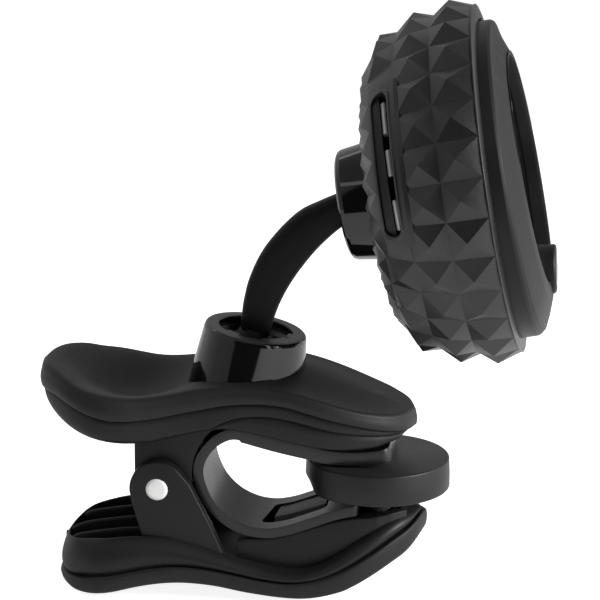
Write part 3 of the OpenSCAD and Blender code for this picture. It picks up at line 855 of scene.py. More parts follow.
def seat():
    """Hollow platform under the spring's lower arm, and the lug in the spring's window."""
    xs = np.linspace(11.2, 34.9, 90)
    half_widths = np.interp(xs, [11, 27, 29, 31, 33, 34, 35.4],
                            [6.9, 6.9, 6.75, 6.35, 5.45, 4.75, 3.4])
    shells = []
    # side walls
    for side in (-1, 1):
        loops = []
        for x, outer in zip(xs, half_widths):
            top, inner = seat_top(x), min(4.3, outer - 1.1)
            bottom = min(top - 1.5, lower_rim(x) - 1.2)
            section = rounded([(inner, bottom, 0), (inner, top, 0.15), (outer, top, 0.28),
                               (outer + 0.15, bottom, 0)], steps=4)
            loops.append(at_station(x, side * section[:, 0], section[:, 1]))
        shells.append(rings(loops, PIN))
    # end wall on the hinge side, then the floor
    shells.append(prism([[11.1, -11.15], [11.1, -8.0], [11.35, -7.8], [13.5, -7.7], [13.7, -11.35]],
                        -6.6, 6.6, bevel=0.2, bevel_steps=2, bevel_angle=25))
    shells.append(prism([[11.5, -10.4], [14, -10.2], [20, -9.4], [24.4, -7.6], [28.4, -5.6],
                         [28.6, -9.0], [24, -11.0], [20, -12.0], [14, -11.7]], -6.5, 6.5))
    # lug in the far part of the window, skewed a little at its hinge end; its light grey is painted light,
    # standing in for the lit seat seen through the window
    loops = []
    for x in np.linspace(15.75, 23.1, 30):
        top = seat_top(x) + 1.32
        section = rounded([(-0.5, top - 3.6, 0), (-0.35, top - 0.2, 0.15), (3.7, top, 0.12),
                           (3.7, top - 3.6, 0)], steps=3)
        loops.append(np.column_stack([x + 0.13 * section[:, 0] * smooth(20, 15, x), section]))
    shells.append(rings(loops, PIN, material=1))
    return shells


def nose_lining():
    """Lining of the jaw's nose, hollowed where the stud's ball sits."""
    top = linear([(28.7, -4.9), (30.2, -4.7), (32, -4.4), (34, -4.2), (36, -4.1)])
    floor_z, cup_floor_z = -6.2, -5.75
    xs = np.linspace(28.7, 34.6, 26)
    half_widths = np.interp(xs, [28.7, 31, 33, 34.1, 34.6], [4.4, 4.3, 3.6, 2.4, 1.4])
    across = np.linspace(-1, 1, 41)
    upper, lower = [], []
    for x, half_width in zip(xs, half_widths):
        for v in across:
            y = v * half_width
            z = top(x) - 0.35 * (abs(v) ** 8)
            r = math.hypot(x - PAD_X, y)
            if r < CUP_RADIUS:
                z = min(z, BALL_Z - math.sqrt(CUP_RADIUS ** 2 - r * r))
            upper.append([x, y, max(z, cup_floor_z)])
            lower.append([x, y, floor_z])
    n, m = len(xs), len(across)
    o = n * m
    faces = []
    for i in range(n - 1):
        for j in range(m - 1):
            a = i * m + j
            faces.append((a, a + 1, a + m + 1, a + m))
            faces.append((o + a, o + a + m, o + a + m + 1, o + a + 1))
    grid = np.arange(o).reshape(n, m)
    edge = [*grid[:, 0], *grid[-1, 1:], *grid[-2::-1, -1], *grid[0, -2:0:-1]]
    for a, b in zip(edge, edge[1:] + edge[:1]):
        faces.append((a, b, o + b, o + a))
    return Shell(PIN(upper + lower), faces)


def hinge_pin():
    """Plain pin with a domed and chamfered head at each end."""
    along_y = Axes(PIN.origin, (1, 0, 0), (0, 0, 1), (0, 1, 0))
    profile = rounded([(0, -8.98, 0), (1.25, -8.96, 0.5), (1.6, -8.72, 0.1), (1.6, 8.72, 0.1),
                       (1.25, 8.96, 0.5), (0, 8.98, 0)])
    return revolve(profile, along_y, steps=72)


piece("lower_grip_cover_skin", "lower_arm", "lower_grip_cover", ["soft_grip"], [lower_cover()],
      sharp=50)
ribs = [rib(-5.0, -13.3), rib(0.0, -14.6), rib(5.0, -13.3)]
piece("lower_lever_moulding", "lower_arm", "lower_lever", ["lever_plastic", "painted_light_shelf_grey"],
      [lower_body()] + seat() + ears() + ribs, sharp=48)
piece("jaw_lining", "lower_arm", "lower_jaw_liner", ["lining_black"], [nose_lining()], sharp=60)
piece("hinge_pin_polished", "lower_arm", "hinge_pin", ["pin_steel"], [hinge_pin()], sharp=40)

# ------------------------------------------------------------------ clip spring

# (x, z) of the strip's inner face: lower arm, bend by the hinge, upper arm
SPRING_LINE = [
    (28.1, -1.98), (26.6, -2.25), (24.2, -2.95), (22.1, -3.78), (20, -4.6), (18.0, -5.33),
    (16, -5.78), (14.4, -5.85), (12.4, -5.5), (10.4, -4.6), (8.8, -3.3), (7.6, -1.75),
    (6.7, 0.3), (6.35, 1.9), (6.45, 3.2), (6.95, 4.4), (8.0, 5.75), (9.1, 6.6), (10.3, 7.1),
    (11.6, 7.05), (14.4, 6.35), (17.2, 5.68), (21, 4.92), (24, 4.28), (27.6, 4.15),
    (30.6, 4.45), (32.9, 5.0)]
SPRING_HALF = 6.7
# window of the lower arm: ends in x, half width in y and corner radius
WINDOW_START, WINDOW_END, WINDOW_HALF, WINDOW_CORNER = 14.8, 23.6, 4.0, 0.8


def window_place(x, y):
    """Lean of the window's edge at a point, its core's nearest point, and the way from there.

    The core is the window less its corner radius; its hinge end runs a little askew.
    """
    lean_x = 0.16 * y * smooth(20, 15, x)
    x -= lean_x
    core_x = min(max(x, WINDOW_START + WINDOW_CORNER), WINDOW_END - WINDOW_CORNER)
    core_y = min(max(y, WINDOW_CORNER - WINDOW_HALF), WINDOW_HALF - WINDOW_CORNER)
    return lean_x, core_x, core_y, x - core_x, y - core_y


def spring():
    rows, columns = 260, 54
    index = np.arange(rows)
    line = resample(spline(SPRING_LINE, 14), rows)
    xs = line[:, 0]
    along = np.gradient(line, axis=0)
    along /= np.linalg.norm(along, axis=1)[:, None]
    upper = index > rows * 0.55
    thickness = np.where(upper, 1.5 + 0.25 * smooth(9, 14, xs), 1.42)
    # both ends are rounded in plan: (arm, x of its end, length and width of the rounding)
    half = np.full(rows, SPRING_HALF)
    for arm, end, run, cut in ((upper, 32.9, 1.3, 1.2), (~upper, 28.1, 0.8, 0.8)):
        t = np.clip((end - xs) / run, 0, 1)
        nose = SPRING_HALF - cut + cut * np.sqrt(1 - (1 - t) ** 2)
        half = np.where(arm & (xs > end - run), nose, half)
    Y = half[:, None] * np.linspace(-1, 1, columns)[None, :]

    keep = np.ones((rows - 1, columns - 1), bool)
    for i in range(rows - 1):
        for j in range(columns - 1):
            dx, dy = window_place((xs[i] + xs[i + 1]) / 2, (Y[i, j] + Y[i + 1, j + 1]) / 2)[3:]
            keep[i, j] = upper[i] or math.hypot(dx, dy) >= WINDOW_CORNER
    # vertices on the window's edge move onto its outline, across and along the strip
    S = np.repeat(index[:, None].astype(float), columns, 1)
    slope = np.zeros((rows, columns))
    lower = index[~upper]
    for i, j in hole_edge(keep):
        lean_x, core_x, core_y, dx, dy = window_place(xs[i], Y[i, j])
        reach = math.hypot(dx, dy)
        x = core_x + dx / reach * WINDOW_CORNER + lean_x
        Y[i, j] = core_y + dy / reach * WINDOW_CORNER
        S[i, j] = np.interp(-x, -xs[lower], lower)
        # the window's far wall slopes, so it catches the light
        if Y[i, j] > 3.2 and WINDOW_START + 0.8 < xs[i] < WINDOW_END - 0.6:
            slope[i, j] = 1.15

    def placed(values):
        return np.interp(S, index, values)

    X, Z, thick = placed(xs), placed(line[:, 1]), placed(thickness)
    normal_x, normal_z = placed(-along[:, 1]), placed(along[:, 0])
    # the upper arm's inner face stands lower than the bend's
    fold = (np.where(upper & (xs > 11.5), 0.26, 0.0) * (1 - 0.55 * smooth(20, 26, xs)))[:, None]
    inner = np.stack([X - normal_x * fold, Y, Z - normal_z * fold], 2).reshape(-1, 3)
    outer = np.stack([X + normal_x * thick, Y - slope, Z + normal_z * thick], 2).reshape(-1, 3)
    o = rows * columns
    quads = []
    for i, j in np.argwhere(keep):
        a = int(i * columns + j)
        quads.append((a, a + 1, a + columns + 1, a + columns))
    faces = []
    for quad in quads:
        faces.append(quad)
        faces.append(tuple(o + k for k in quad[::-1]))
    return Shell(PIN(np.concatenate([inner, outer])), faces + walls(quads, o), bevel=0.16,
                 bevel_steps=3, bevel_angle=50, merge=1e-7)


strip = piece("clip_spring_strip", None, "clip_spring", ["black_spring"], [spring()], sharp=50)
tuple(PIN([9.0, 0, -1.9])[0])
tuple(PIN([9.0, 0, 3.7])[0])
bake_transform(strip)

# ------------------------------------------------------------------ jaw pad and its stud

PAD_TOP, PAD_BOTTOM = 3.6, -0.8
PAD_FACE = PAD_BOTTOM + 0.42  # the face inside the pad's rim


def pad_flat(points):
    """Draws in the pad's edge low down on the side towards the hinge."""
    angle = np.degrees(np.arctan2(points[:, 1], -points[:, 0]))
    r = np.hypot(points[:, 0], points[:, 1])
    low = (smooth(8.2, 10.2, r) * np.clip((0.9 - points[:, 2]) / 1.7, 0, 1)
           * smooth(44, 12, np.abs(angle)))
    points[:, :2] *= (1 - 0.10 * low)[:, None]
    return points


def jaw_pad():
    profile = rounded([(0, PAD_FACE, 0), (9.35, PAD_FACE, 0.15), (9.45, PAD_BOTTOM, 0.12),
                       (10.26, PAD_BOTTOM, 0.3), (10.26, 1.2, 2), (10.14, PAD_TOP, 0.28),
                       (0, PAD_TOP, 0)])
    pad_axes = Axes(PIN.origin + [PAD_X, 0, 0], *PIN.rows)
    shells = [revolve(profile, pad_axes, steps=192).reshape(pad_axes, pad_flat)]
    # concentric ribs on the face of the pad
    root, tip = PAD_BOTTOM + 0.6, PAD_BOTTOM + 0.2
    for r in (5.2, 6.4, 7.6):
        profile = rounded([(r - 0.3, root, 0), (r + 0.3, root, 0), (r + 0.2, tip, 0.12),
                           (r - 0.2, tip, 0.12)], steps=3)
        shells.append(revolve(profile, PIN, steps=128, centre=(PAD_X, 0)))
    return shells


def pad_stud():
    profile = ball_arc(BALL_RADIUS, 152, 34, z=BALL_Z) + [
        [1.3, 0.3], [1.3, 4.0], [2.2, 4.05], [2.35, 4.2], [2.35, 6.2], [1.5, 6.5], [1.5, 9.0],
        [0, 9.0]]
    return revolve(profile, PIN, steps=72, centre=(PAD_X, 0))


piece("jaw_pad_disc", "pad", "jaw_pad", ["pad_rubber"], jaw_pad(), sharp=45)
piece("pad_stud_turned", "upper_arm", "pad_stud", ["grey_plastic"], [pad_stud()], sharp=40)

# ------------------------------------------------------------------ socket collar

RIM = 0.50  # height of the collar's rim over its joint
TABS = ((104, 122), (-20, 2), (226, 250), (288, 334))  # angles round the collar


def socket_collar():
    """Conical collar, the flat ring on its rim and the tabs inside it."""
    body = rounded([
        (5.95, -9.0, 0), (8.36, -9.0, 0.12), (8.28, -8.5, 0.2), (7.32, RIM - 0.62, 0.5),
        (7.14, RIM - 0.12, 0.35), (6.72, RIM, 0.25), (5.45, RIM, 0.12), (5.28, RIM - 0.12, 0.1),
        (5.25, RIM - 1.05, 0.05), (5.95, RIM - 1.05, 0)])
    ring = rounded([
        (5.30, RIM - 0.05, 0.03), (5.42, RIM + 0.012, 0.05), (6.72, RIM + 0.012, 0.3),
        (7.0, RIM - 0.03, 0.05), (6.95, RIM - 0.12, 0), (5.30, RIM - 0.12, 0)], steps=3)
    tab = rounded([(4.45, RIM - 0.95, 0.05), (5.6, RIM - 0.95, 0), (5.6, RIM, 0.02),
                   (4.7, RIM, 0.12), (4.48, RIM - 0.2, 0.12)], steps=3)
    shells = [revolve(body, COLLAR, steps=192), revolve(ring, COLLAR, steps=160, material=1)]
    for start, end in TABS:
        shells.append(sector(tab, COLLAR, start, end, steps=18, material=1, bevel=0.09,
                             bevel_steps=2, bevel_angle=40))
    return shells


def lower_sleeve():
    """Stepped sleeve seen between the tabs."""
    profile = rounded([
        (4.3, -2.3, 0.1), (4.55, -1.35, 0.1), (4.95, -0.75, 0.08), (5.22, -0.7, 0.05),
        (5.24, -0.35, 0.05), (5.9, -0.35, 0), (5.9, -8.8, 0), (5.4, -8.8, 0),
        (5.35, -4.5, 0.5), (4.9, -2.9, 0.3)], steps=3)
    return revolve(profile, COLLAR, steps=128)


piece("socket_collar_gloss", "upper_arm", "socket_collar", ["gloss_black", "gloss_black_rim"],
      socket_collar(), sharp=38)
piece("lower_cup_sleeve", "collar_swivel", "lower_ball_cup", ["sleeve_plastic"],
      [lower_sleeve()], sharp=45)

# ------------------------------------------------------------------ neck

# (x, z) of the neck's two edges in the hinge frame; the front one is on the display's side
NECK_BACK = [(10.3, 17.6), (10.9, 20.6), (11.1, 23.5), (11.4, 25.9), (12.2, 29.1), (13.9, 32.8),
             (16.4, 36.1), (19.1, 38.7), (21.9, 40.2), (24.6, 41.4), (27.0, 42.0)]
NECK_FRONT = [(14.0, 17.6), (14.7, 20.6), (15.4, 23.3), (16.4, 25.9), (17.7, 28.4), (19.2, 30.7),
              (21.2, 33.3), (23.2, 35.4), (25.2, 37.1), (27.6, 38.4)]


def neck_arm():
    """Squarish rounded section (a superellipse) carried between the two edges."""
    stations, steps, power = 90, 56, 3.0
    back = resample(spline(NECK_BACK, 10), stations)
    front = resample(spline(NECK_FRONT, 10), stations)
    centre = (back + front) / 2
    width = np.linalg.norm(front - back, axis=1)
    across = (front - back) / width[:, None]
    s = np.linspace(0, 1, stations)
    half_y = 1.8 + 0.35 * np.sin(np.pi * np.clip((s - 0.1) / 0.8, 0, 1))
    t = np.arange(steps) * 2 * math.pi / steps
    cos_t, sin_t = (np.sign(v) * np.abs(v) ** (2 / power) for v in (np.cos(t), np.sin(t)))
    loops = []
    for c, a, w, h in zip(centre, across, width / 2 + 0.15, half_y):
        reach = cos_t * w
        loops.append(np.column_stack([c[0] + reach * a[0], sin_t * h, c[1] + reach * a[1]]))
    return rings(loops, PIN)


def neck_balls():
    """The lower ball's top is turned down to a shallow cone that runs up into the neck."""
    lower = ball_arc(5.26, 124, 40) + [[3.9, 3.25], [3.1, 3.62], [2.35, 4.2], [1.9, 5.0], [0, 5.0]]
    return [revolve(lower, LOWER_BALL, steps=96),
            revolve(ball_arc(4.06, 180, 49), UPPER_BALL, steps=96)]


piece("neck_arm_moulding", "neck", "neck_arm", ["neck_plastic"], [neck_arm()] + neck_balls(),
      sharp=50)

# ------------------------------------------------------------------ socket at the head's back


def socket_cap():
    profile = rounded([
        (4.6, -21.72, 0.15), (7.0, -21.72, 0.22), (7.55, -21.4, 0.2), (7.78, -20.9, 0.3),
        (8.42, -16.6, 0), (8.42, -15.2, 0), (5.3, -15.2, 0), (5.2, -20.0, 0.05),
        (4.6, -20.1, 0.05)])
    return revolve(profile, HEAD, steps=160, centre=(0.32, 0))


def upper_sleeve():
    profile = rounded([(3.95, -19.95, 0.1), (5.05, -19.95, 0.1), (5.08, -15.0, 0),
                       (4.2, -15.0, 0), (4.4, -17.4, 0.3), (4.35, -18.8, 0.3)], steps=3)
    return revolve(profile, HEAD, steps=96)


piece("socket_cap_gloss", "head", "socket_cap", ["gloss_black"], [socket_cap()], sharp=36)
piece("upper_cup_sleeve", "head_swivel", "upper_ball_cup", ["neck_plastic"], [upper_sleeve()],
      sharp=45)

# ------------------------------------------------------------------ studded bumper

STUDS, PHASE = 28, 0.44
PITCH = 360.0 / STUDS
# valley circles (z, radius) from the front edge back to the cap, and the apex between each two
VALLEY = [(0.30, 24.10), (-5.45, 23.6), (-10.6, 22.2), (-14.6, 19.25), (-16.15, 15.2),
          (-16.65, 11.3), (-16.9, 8.6)]
APEX = [(-3.0, 25.35), (-8.05, 24.45), (-13.15, 22.15), (-16.05, 17.4), (-17.0, 13.2),
        (-17.2, 9.9)]
DOOR_ROW = 2  # the ring of studs that the door interrupts
DOOR_START, DOOR_END = 34.9, 96.1  # degrees from the top of the head towards the near side
# (z, radius) rows of the smooth band behind the door; the middle two sink to SUNK_RADIUS
BAND = [(-10.85, 22.08), (-10.95, 22.02), (-14.0, 19.78), (-14.1, 19.70)]
SUNK_RADIUS = 18.95
# (z, radius) of the front lip and then the inner wall
LINING = [(0.50, 23.9), (0.70, 23.2), (0.78, 22.24), (-0.8, 22.3), (-0.8, 21.65), (-5.0, 21.4),
          (-9.6, 20.6), (-12.9, 18.3), (-15.3, 14.6), (-15.7, 8.75), (-16.5, 8.5)]


def lean(points):
    """The bumper sits a touch back on the head and leans back at the bottom."""
    x, y, z = np.asarray(points, float).T
    return np.column_stack([x - 0.06, y, z - 0.019 * x - 0.2])


def bumper():
    points, faces = [], []

    def add(z, r, phi):
        """Adds a point; phi counts from the top of the head towards the near side."""
        a = math.radians(phi)
        points.append([-r * math.cos(a), -r * math.sin(a), z])
        return len(points) - 1

    def join(first, second):
        for k in range(STUDS):
            k2 = (k + 1) % STUDS
            faces.append((first[k], first[k2], second[k2], second[k]))

    def valley_angle(k):
        return PITCH * (k + PHASE - 0.5)

    grid = {}
    for k in range(STUDS):
        for j, (z, r) in enumerate(VALLEY):
            grid[j, k] = add(z, r, valley_angle(k))
    # studs are four-sided pyramids, left out where the door is
    plain = [k for k in range(STUDS) if DOOR_START - 10 < PITCH * (k + PHASE) < DOOR_END + 10]
    for k in range(STUDS):
        k2 = (k + 1) % STUDS
        for j, (z, r) in enumerate(APEX):
            if j == DOOR_ROW and k in plain:
                continue
            corners = [grid[j, k], grid[j, k2], grid[j + 1, k2], grid[j + 1, k]]
            apex = add(z, r, PITCH * (k + PHASE))
            for start, end in zip(corners, corners[1:] + corners[:1]):
                faces.append((start, end, apex))
    # smooth band behind and round the door: (angle, valley it lines up with)
    angles = sorted([(valley_angle(k), k) for k in plain + [max(plain) + 1]]
                    + [(DOOR_START + 0.8, None), (DOOR_START + 0.95, None),
                       (DOOR_END - 0.95, None), (DOOR_END - 0.8, None)])
    columns = []
    for phi, k in angles:
        sunk = DOOR_START + 0.9 < phi < DOOR_END - 0.9
        columns.append((k, [add(z, SUNK_RADIUS if sunk and b in (1, 2) else r, phi)
                            for b, (z, r) in enumerate(BAND)]))
    for (_, a), (_, b) in zip(columns, columns[1:]):
        for i in range(3):
            faces.append((a[i], b[i], b[i + 1], a[i + 1]))
    lined = [i for i, (k, _) in enumerate(columns) if k is not None]
    for i, j in zip(lined, lined[1:]):
        k, k2 = columns[i][0] % STUDS, columns[j][0] % STUDS
        run = [column for _, column in columns[i:j + 1]]
        faces.append((grid[DOOR_ROW, k], grid[DOOR_ROW, k2], *(c[0] for c in run[::-1])))
        faces.append((grid[DOOR_ROW + 1, k2], grid[DOOR_ROW + 1, k], *(c[3] for c in run)))
    # close the band's ends against the neighbouring studs' edges
    for i in (lined[0], lined[-1]):
        k, column = columns[i]
        faces.append((grid[DOOR_ROW, k % STUDS], *column, grid[DOOR_ROW + 1, k % STUDS]))
    # front lip and inner wall, closed against the last valley circle
    previous = [grid[0, k] for k in range(STUDS)]
    for z, r in LINING:
        current = [add(z, r, valley_angle(k)) for k in range(STUDS)]
        join(previous, current)
        previous = current
    join(previous, [grid[len(APEX), k] for k in range(STUDS)])
    # the studs' crests and roots are rounded, as rubber comes out of a mould
    return Shell(HEAD(lean(points)), faces, bevel=0.21, bevel_steps=2, bevel_angle=9, merge=1e-7)


def seam_line():
    """The fine witness line of the mould at the front edge."""
    profile = rounded([(23.8, 0.22, 0), (24.20, 0.28, 0.05), (24.23, 0.42, 0.05),
                       (23.9, 0.52, 0)], steps=3)
    return revolve(profile, HEAD, steps=224).reshape(HEAD, lean)


# ------------------------------------------------------------------ battery door
# angles here are counted about the head's z from its x, 180 degrees on from the top

SLOT_Z, SLOT_HALF, SLOT_RADIUS = -12.82, 1.16, 20.9
SLOT_END_ANGLE = math.degrees(SLOT_HALF / SLOT_RADIUS)
SLOT_START, SLOT_END = 180 + 38.2 + SLOT_END_ANGLE, 180 + 92.8 - SLOT_END_ANGLE
DOOR_BACK_RADIUS = 19.2


def door_radius(z):
    return np.interp(-z, [9.9, 10.6, 11.5, 12.6, 13.6, 14.2],
                     [22.7, 22.56, 22.1, 21.45, 20.65, 20.1])


def slot_place(angle, z):
    """Nearest angle on the slot's middle line, and the way from there in millimetres."""
    middle = min(max(angle, SLOT_START), SLOT_END)
    return middle, math.radians(angle - middle) * SLOT_RADIUS, z - SLOT_Z


def door():
    """Smooth band with a long slot that has a fine raised rim."""
    rows, columns = 170, 40
    angles = np.linspace(180 + DOOR_START, 180 + DOOR_END, rows)
    heights = np.linspace(-9.95, -14.15, columns)
    # distance from the slot's outline, negative inside it
    gap = np.array([[math.hypot(*slot_place(a, z)[1:]) - SLOT_HALF for z in heights] for a in angles])
    outer = []
    for i, a in enumerate(angles):
        for j, z in enumerate(heights):
            ridge = 0.16 * math.exp(-((gap[i, j] - 0.22) / 0.16) ** 2)
            outer.append([a, z, door_radius(z) + ridge])
    keep = np.array([[gap[i:i + 2, j:j + 2].mean() > 0 for j in range(columns - 1)]
                     for i in range(rows - 1)])
    # vertices on the slot's edge move onto its outline
    for i, j in hole_edge(keep):
        middle, dx, dz = slot_place(angles[i], heights[j])
        reach = math.hypot(dx, dz)
        z = SLOT_Z + dz / reach * SLOT_HALF
        outer[i * columns + j] = [middle + math.degrees(dx / reach * SLOT_HALF / SLOT_RADIUS), z,
                                  door_radius(z) + 0.02]
    quads = []
    for i, j in np.argwhere(keep):
        a = int(i * columns + j)
        quads.append((a, a + columns, a + columns + 1, a + 1))
    o = len(outer)
    back = [tuple(o + k for k in quad[::-1]) for quad in quads]
    inner = [[a, z, DOOR_BACK_RADIUS] for a, z, _ in outer]
    points = lean([[r * cosd(a), r * sind(a), z] for a, z, r in outer + inner])
    return Shell(HEAD(points), quads + back + walls(quads, o), bevel=0.08, bevel_steps=2,
                 bevel_angle=55, merge=1e-7)


def tray():
    """Behind the slot: a floor, a dark channel painted as the shade in the slot's depth, and three light edges."""
    floor_profile = [[18.6, -14.1], [20.1, -14.0], [20.55, -12.72], [18.6, -12.7]]
    channel = [[18.2, -12.75], [19.2, -12.75], [19.2, -11.3], [18.2, -11.3]]
    edge = rounded([(19.3, -12.66, 0), (20.35, -12.6, 0.15), (20.7, -12.2, 0.12),
                    (20.6, -11.9, 0.08), (19.3, -11.9, 0)], steps=3)
    shells = [sector(profile, HEAD, 180 + 36.6, 180 + 94.4, steps=40, material=material)
              for profile, material in ((floor_profile, 2), (channel, 3))]
    for start, end in ((40.5, 54.0), (60.5, 70.5), (79.5, 91.0)):
        shells.append(sector(edge, HEAD, 180 + start, 180 + end, steps=18, material=1, bevel=0.09,
                             bevel_steps=2, bevel_angle=50))
    return shells


piece("head_bumper_studded", "head", "head_bumper", ["bumper_rubber"], [bumper(), seam_line()],
      sharp=30)
piece("battery_door_band", "head", "battery_door",
      ["bumper_rubber", "tray_metal", "shell_plastic", "painted_shade_black"], [door()] + tray(), sharp=45)

# ------------------------------------------------------------------ bezel, lens and button

VIEW_RISE = 1.15  # how far the opening's centre sits above the ring's
BUTTON_X = 13.85

# opening of the bezel: (radius, z, share of the rise)
OPENING = [(16.45, 4.66, 0.85), (16.24, 4.68, 1.0), (16.1, 4.6, 1.0), (16.02, 4.42, 1.0),
           (15.98, 4.1, 1.0), (15.98, 2.72, 1.0), (16.55, 2.66, 1.0), (16.62, 1.6, 1.0)]


def bezel():
    """Ring with a conical front and an opening set above its centre."""
    outer = rounded([(20.2, -0.05, 0), (22.02, -0.05, 0), (22.02, 2.3, 0.3), (21.8, 2.72, 0.3),
                     (21.4, 2.97, 0.5), (19.75, 3.6, 2), (17.6, 4.42, 0.5), (16.75, 4.60, 0)])
    steps = 240
    angles = [2 * math.pi * i / steps for i in range(steps)]
    loops = []
    for r, z, share in [(r, z, 0) for r, z in outer] + OPENING + [(20.1, 1.55, 0)]:
        x = np.array([r * math.cos(a) - VIEW_RISE * share for a in angles])
        y = [r * math.sin(a) for a in angles]
        # the front leans forward a little towards the button
        loops.append(np.column_stack([x + 0.2, y, z + 0.018 * x * smooth(2.7, 3.2, z)]))
    return rings(loops, HEAD, closed=True)


def button_slope(points):
    """Slopes the tops of the button and its collar back towards the bottom of the head."""
    points[:, 2] -= 0.14 * (points[:, 0] - BUTTON_X) * smooth(2.6, 5.4, points[:, 2])
    return points


def button_collar():
    profile = rounded([
        (2.68, 2.0, 0), (4.1, 2.0, 0), (3.75, 3.2, 0.5), (3.48, 4.4, 0.8), (3.42, 5.55, 0.16),
        (3.2, 5.8, 0.12), (2.88, 5.85, 0.1), (2.68, 5.7, 0.1)], steps=4)
    return revolve(profile, HEAD, steps=96, centre=(BUTTON_X, 0)).reshape(HEAD, button_slope)


def power_button():
    profile = rounded([(0, 0.35, 0), (3.15, 0.35, 0.1), (3.15, 1.05, 0.05), (2.6, 1.1, 0.05),
                       (2.6, 5.55, 0.3), (2.3, 5.9, 0.5), (0, 6.02, 0)])
    return revolve(profile, HEAD, steps=96, centre=(BUTTON_X, 0)).reshape(HEAD, button_slope)


def lens():
    profile = rounded([(0, 1.62, 0), (16.5, 1.62, 0.1), (16.55, 2.3, 0.1), (16.3, 2.62, 0.15),
                       (0, 2.66, 0)], steps=3)
    return revolve(profile, HEAD, steps=160, centre=(-VIEW_RISE, 0))


def scale_marks():
    """A fan of 13 plain ticks on the lens, every third one longer and thicker."""
    shells = []
    for i in range(13):
        c, s = cosd(120 + 10 * i), sind(120 + 10 * i)
        r0, r1, w = (12.0, 13.0, 0.16) if i % 3 else (12.0, 13.8, 0.24)
        corners = [(r * c - side * s - VIEW_RISE, r * s + side * c)
                   for r, side in ((r0, w), (r1, w), (r1, -w), (r0, -w))]
        loops = [np.array([(x, y, z) for x, y in corners]) for z in (2.665, 2.70)]
        shells.append(rings(loops, HEAD, material=1))
    return shells


piece("front_bezel_ring", "head", "front_bezel", ["bezel_plastic"], [bezel(), button_collar()],
      sharp=34)
moulded("scale_marks", (0.045, 0.046, 0.047), rough=0.4)
piece("display_lens_smoked", "head", "display_lens", ["smoked_lens", "scale_marks"],
      [lens()] + scale_marks(), sharp=34)
piece("power_button_gloss", "button", "power_button", ["gloss_black"], [power_button()], sharp=36)

# ------------------------------------------------------------------ stage and light
# lengths from here on are metres

FLOOR_SIZE, FLOOR_GAP = 0.64, 0.0002
VIEW_RIGHT = (0.99386, 0.11064, 0)  # the camera's level right, before its roll
VIEW_FRONT = (VIEW_RIGHT[1], -VIEW_RIGHT[0], 0)  # level direction towards the camera


def make_floor():
    """White paper that glows to the camera and much less to everything else."""
    bpy.ops.mesh.primitive_plane_add(size=FLOOR_SIZE, location=(0, 0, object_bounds()[0][2] - FLOOR_GAP))
    floor = bpy.context.object
    floor.name = "floor"
    m = Mat("floor_paper")
    camera_ray = m.node("ShaderNodeLightPath").outputs["Is Camera Ray"]
    m.set(color=m.mix(m.noise(0.02), (0.76, 0.76, 0.76), (0.80, 0.80, 0.80)), rough=0.9, spec=0.0,
          glow=(1, 1, 1), glow_strength=m.remap(camera_ray, to=(0.22, 0.88)))
    floor.data.materials.append(m.material)


def area_light(name, place, target, size, power):
    light = bpy.data.lights.new(name, "AREA")
    light.shape = "RECTANGLE"
    light.size, light.size_y = size
    light.energy = power
    light.spread = math.radians(180)
    ob = bpy.data.objects.new(name, light)
    ob.location = place
    ob.rotation_mode = "QUATERNION"
    ob.rotation_quaternion = (Vector(target) - Vector(place)).to_track_quat("-Z", "Y")
    bpy.context.scene.collection.objects.link(ob)


# brightness of the studio's wall by azimuth: degrees from the camera towards the right
WALL = [(-180, 0.45), (-140, 0.5), (-125, 0.62), (-98, 0.48), (-76, 0.36), (-45, 0.34),
        (-40, 0.03), (31, 0.03), (34.5, 2.1), (39, 2.1), (41, 0.08), (46, 0.08), (50, 1.25),
        (100, 1.2), (140, 0.8), (147, 0.15), (180, 0.4)]
# by the height of the view direction (0 level, 1 overhead): where the wall gives way to the
# ceiling, and the brightness of the ceiling, which starts with a bright strip
CEILING_MIX = [(0.0, 0.0), (0.63, 0.0), (0.65, 1.0)]
CEILING = [(0.0, 1.3), (0.70, 1.3), (0.72, 0.26), (1.0, 0.22)]
BACKDROP = (1.05, 1.05, 1.05)  # what the camera itself sees


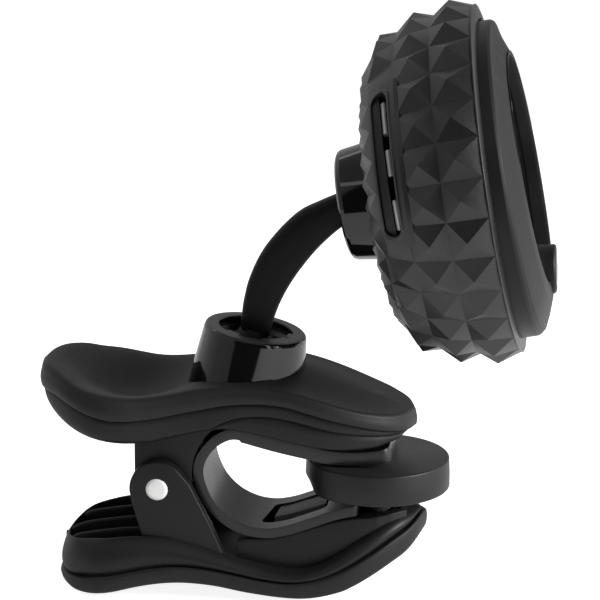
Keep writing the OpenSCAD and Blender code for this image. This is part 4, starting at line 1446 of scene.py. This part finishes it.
def make_world():
    """A studio: dark round the camera, light wall on the right, softer grey elsewhere."""
    world = bpy.data.worlds.new("studio")
    bpy.context.scene.world = world
    world.use_nodes = True
    tree = world.node_tree
    tree.nodes.clear()

    def ramp(value, stops):
        node = add_node(tree, "ShaderNodeValToRGB", {0: value})
        elements = node.color_ramp.elements
        while len(elements) < len(stops):
            elements.new(0.5)
        for element, (position, grey) in zip(elements, stops):
            element.position = position
            element.color = (grey, grey, grey, 1)
        return node.outputs[0]

    def mix(factor, a, b):
        return add_node(tree, "ShaderNodeMix", {0: factor, 6: a, 7: b}, data_type="RGBA").outputs[2]

    direction = add_node(tree, "ShaderNodeTexCoord").outputs["Generated"]
    right, front = (add_node(tree, "ShaderNodeVectorMath", {0: direction, 1: axis},
                             operation="DOT_PRODUCT").outputs["Value"]
                    for axis in (VIEW_RIGHT, VIEW_FRONT))
    azimuth = add_node(tree, "ShaderNodeMath", {0: right, 1: front}, operation="ARCTAN2").outputs[0]
    turn = add_node(tree, "ShaderNodeMath", {0: azimuth, 1: 1 / (2 * math.pi), 2: 0.5},
                    operation="MULTIPLY_ADD").outputs[0]
    wall = ramp(turn, [((degrees + 180) / 360, grey) for degrees, grey in WALL])
    height = add_node(tree, "ShaderNodeSeparateXYZ", {0: direction}).outputs[2]
    room = mix(ramp(height, CEILING_MIX), wall, ramp(height, CEILING))
    camera_ray = add_node(tree, "ShaderNodeLightPath").outputs["Is Camera Ray"]
    background = add_node(tree, "ShaderNodeBackground",
                          {"Color": mix(camera_ray, room, BACKDROP), "Strength": 1.0})
    add_node(tree, "ShaderNodeOutputWorld", {0: background.outputs[0]})


make_floor()
area_light("right_key", place=(0.47, -0.15, 0.24), target=(0.008, 0, 0.03), size=(0.20, 0.20),
           power=3.3)
make_world()

# ------------------------------------------------------------------ camera

CAMERA_UP = (-0.02927, 0.26289, 0.96437)  # before the roll
CAMERA_BACK = (0.1067, -0.95845, 0.26451)  # from the object to the camera
CAMERA_ROLL = 0.298  # degrees
CAMERA_OFFSET = (0.065047, -0.412139, 0.139703)  # from the hinge pin
FOCAL_LENGTH, SENSOR_WIDTH = 183.71, 36  # millimetres


def make_camera():
    right = (Vector(VIEW_RIGHT) * cosd(CAMERA_ROLL) + Vector(CAMERA_UP) * sind(CAMERA_ROLL)).normalized()
    back = Vector(CAMERA_BACK).normalized()
    up = back.cross(right).normalized()
    right = up.cross(back)
    data = bpy.data.cameras.new("camera")
    data.sensor_width = SENSOR_WIDTH
    data.lens = FOCAL_LENGTH
    data.clip_start, data.clip_end = 0.01, 20
    camera = bpy.data.objects.new("camera", data)
    bpy.context.scene.collection.objects.link(camera)
    pin = Vector(PIN.origin * MM)
    camera.matrix_world = Matrix(
        [(right[i], up[i], back[i], pin[i] + CAMERA_OFFSET[i]) for i in range(3)] + [(0, 0, 0, 1)])
    bpy.context.scene.camera = camera


make_camera()
bpy.context.scene.view_settings.view_transform = "Standard"
bpy.context.scene.view_settings.look = "None"
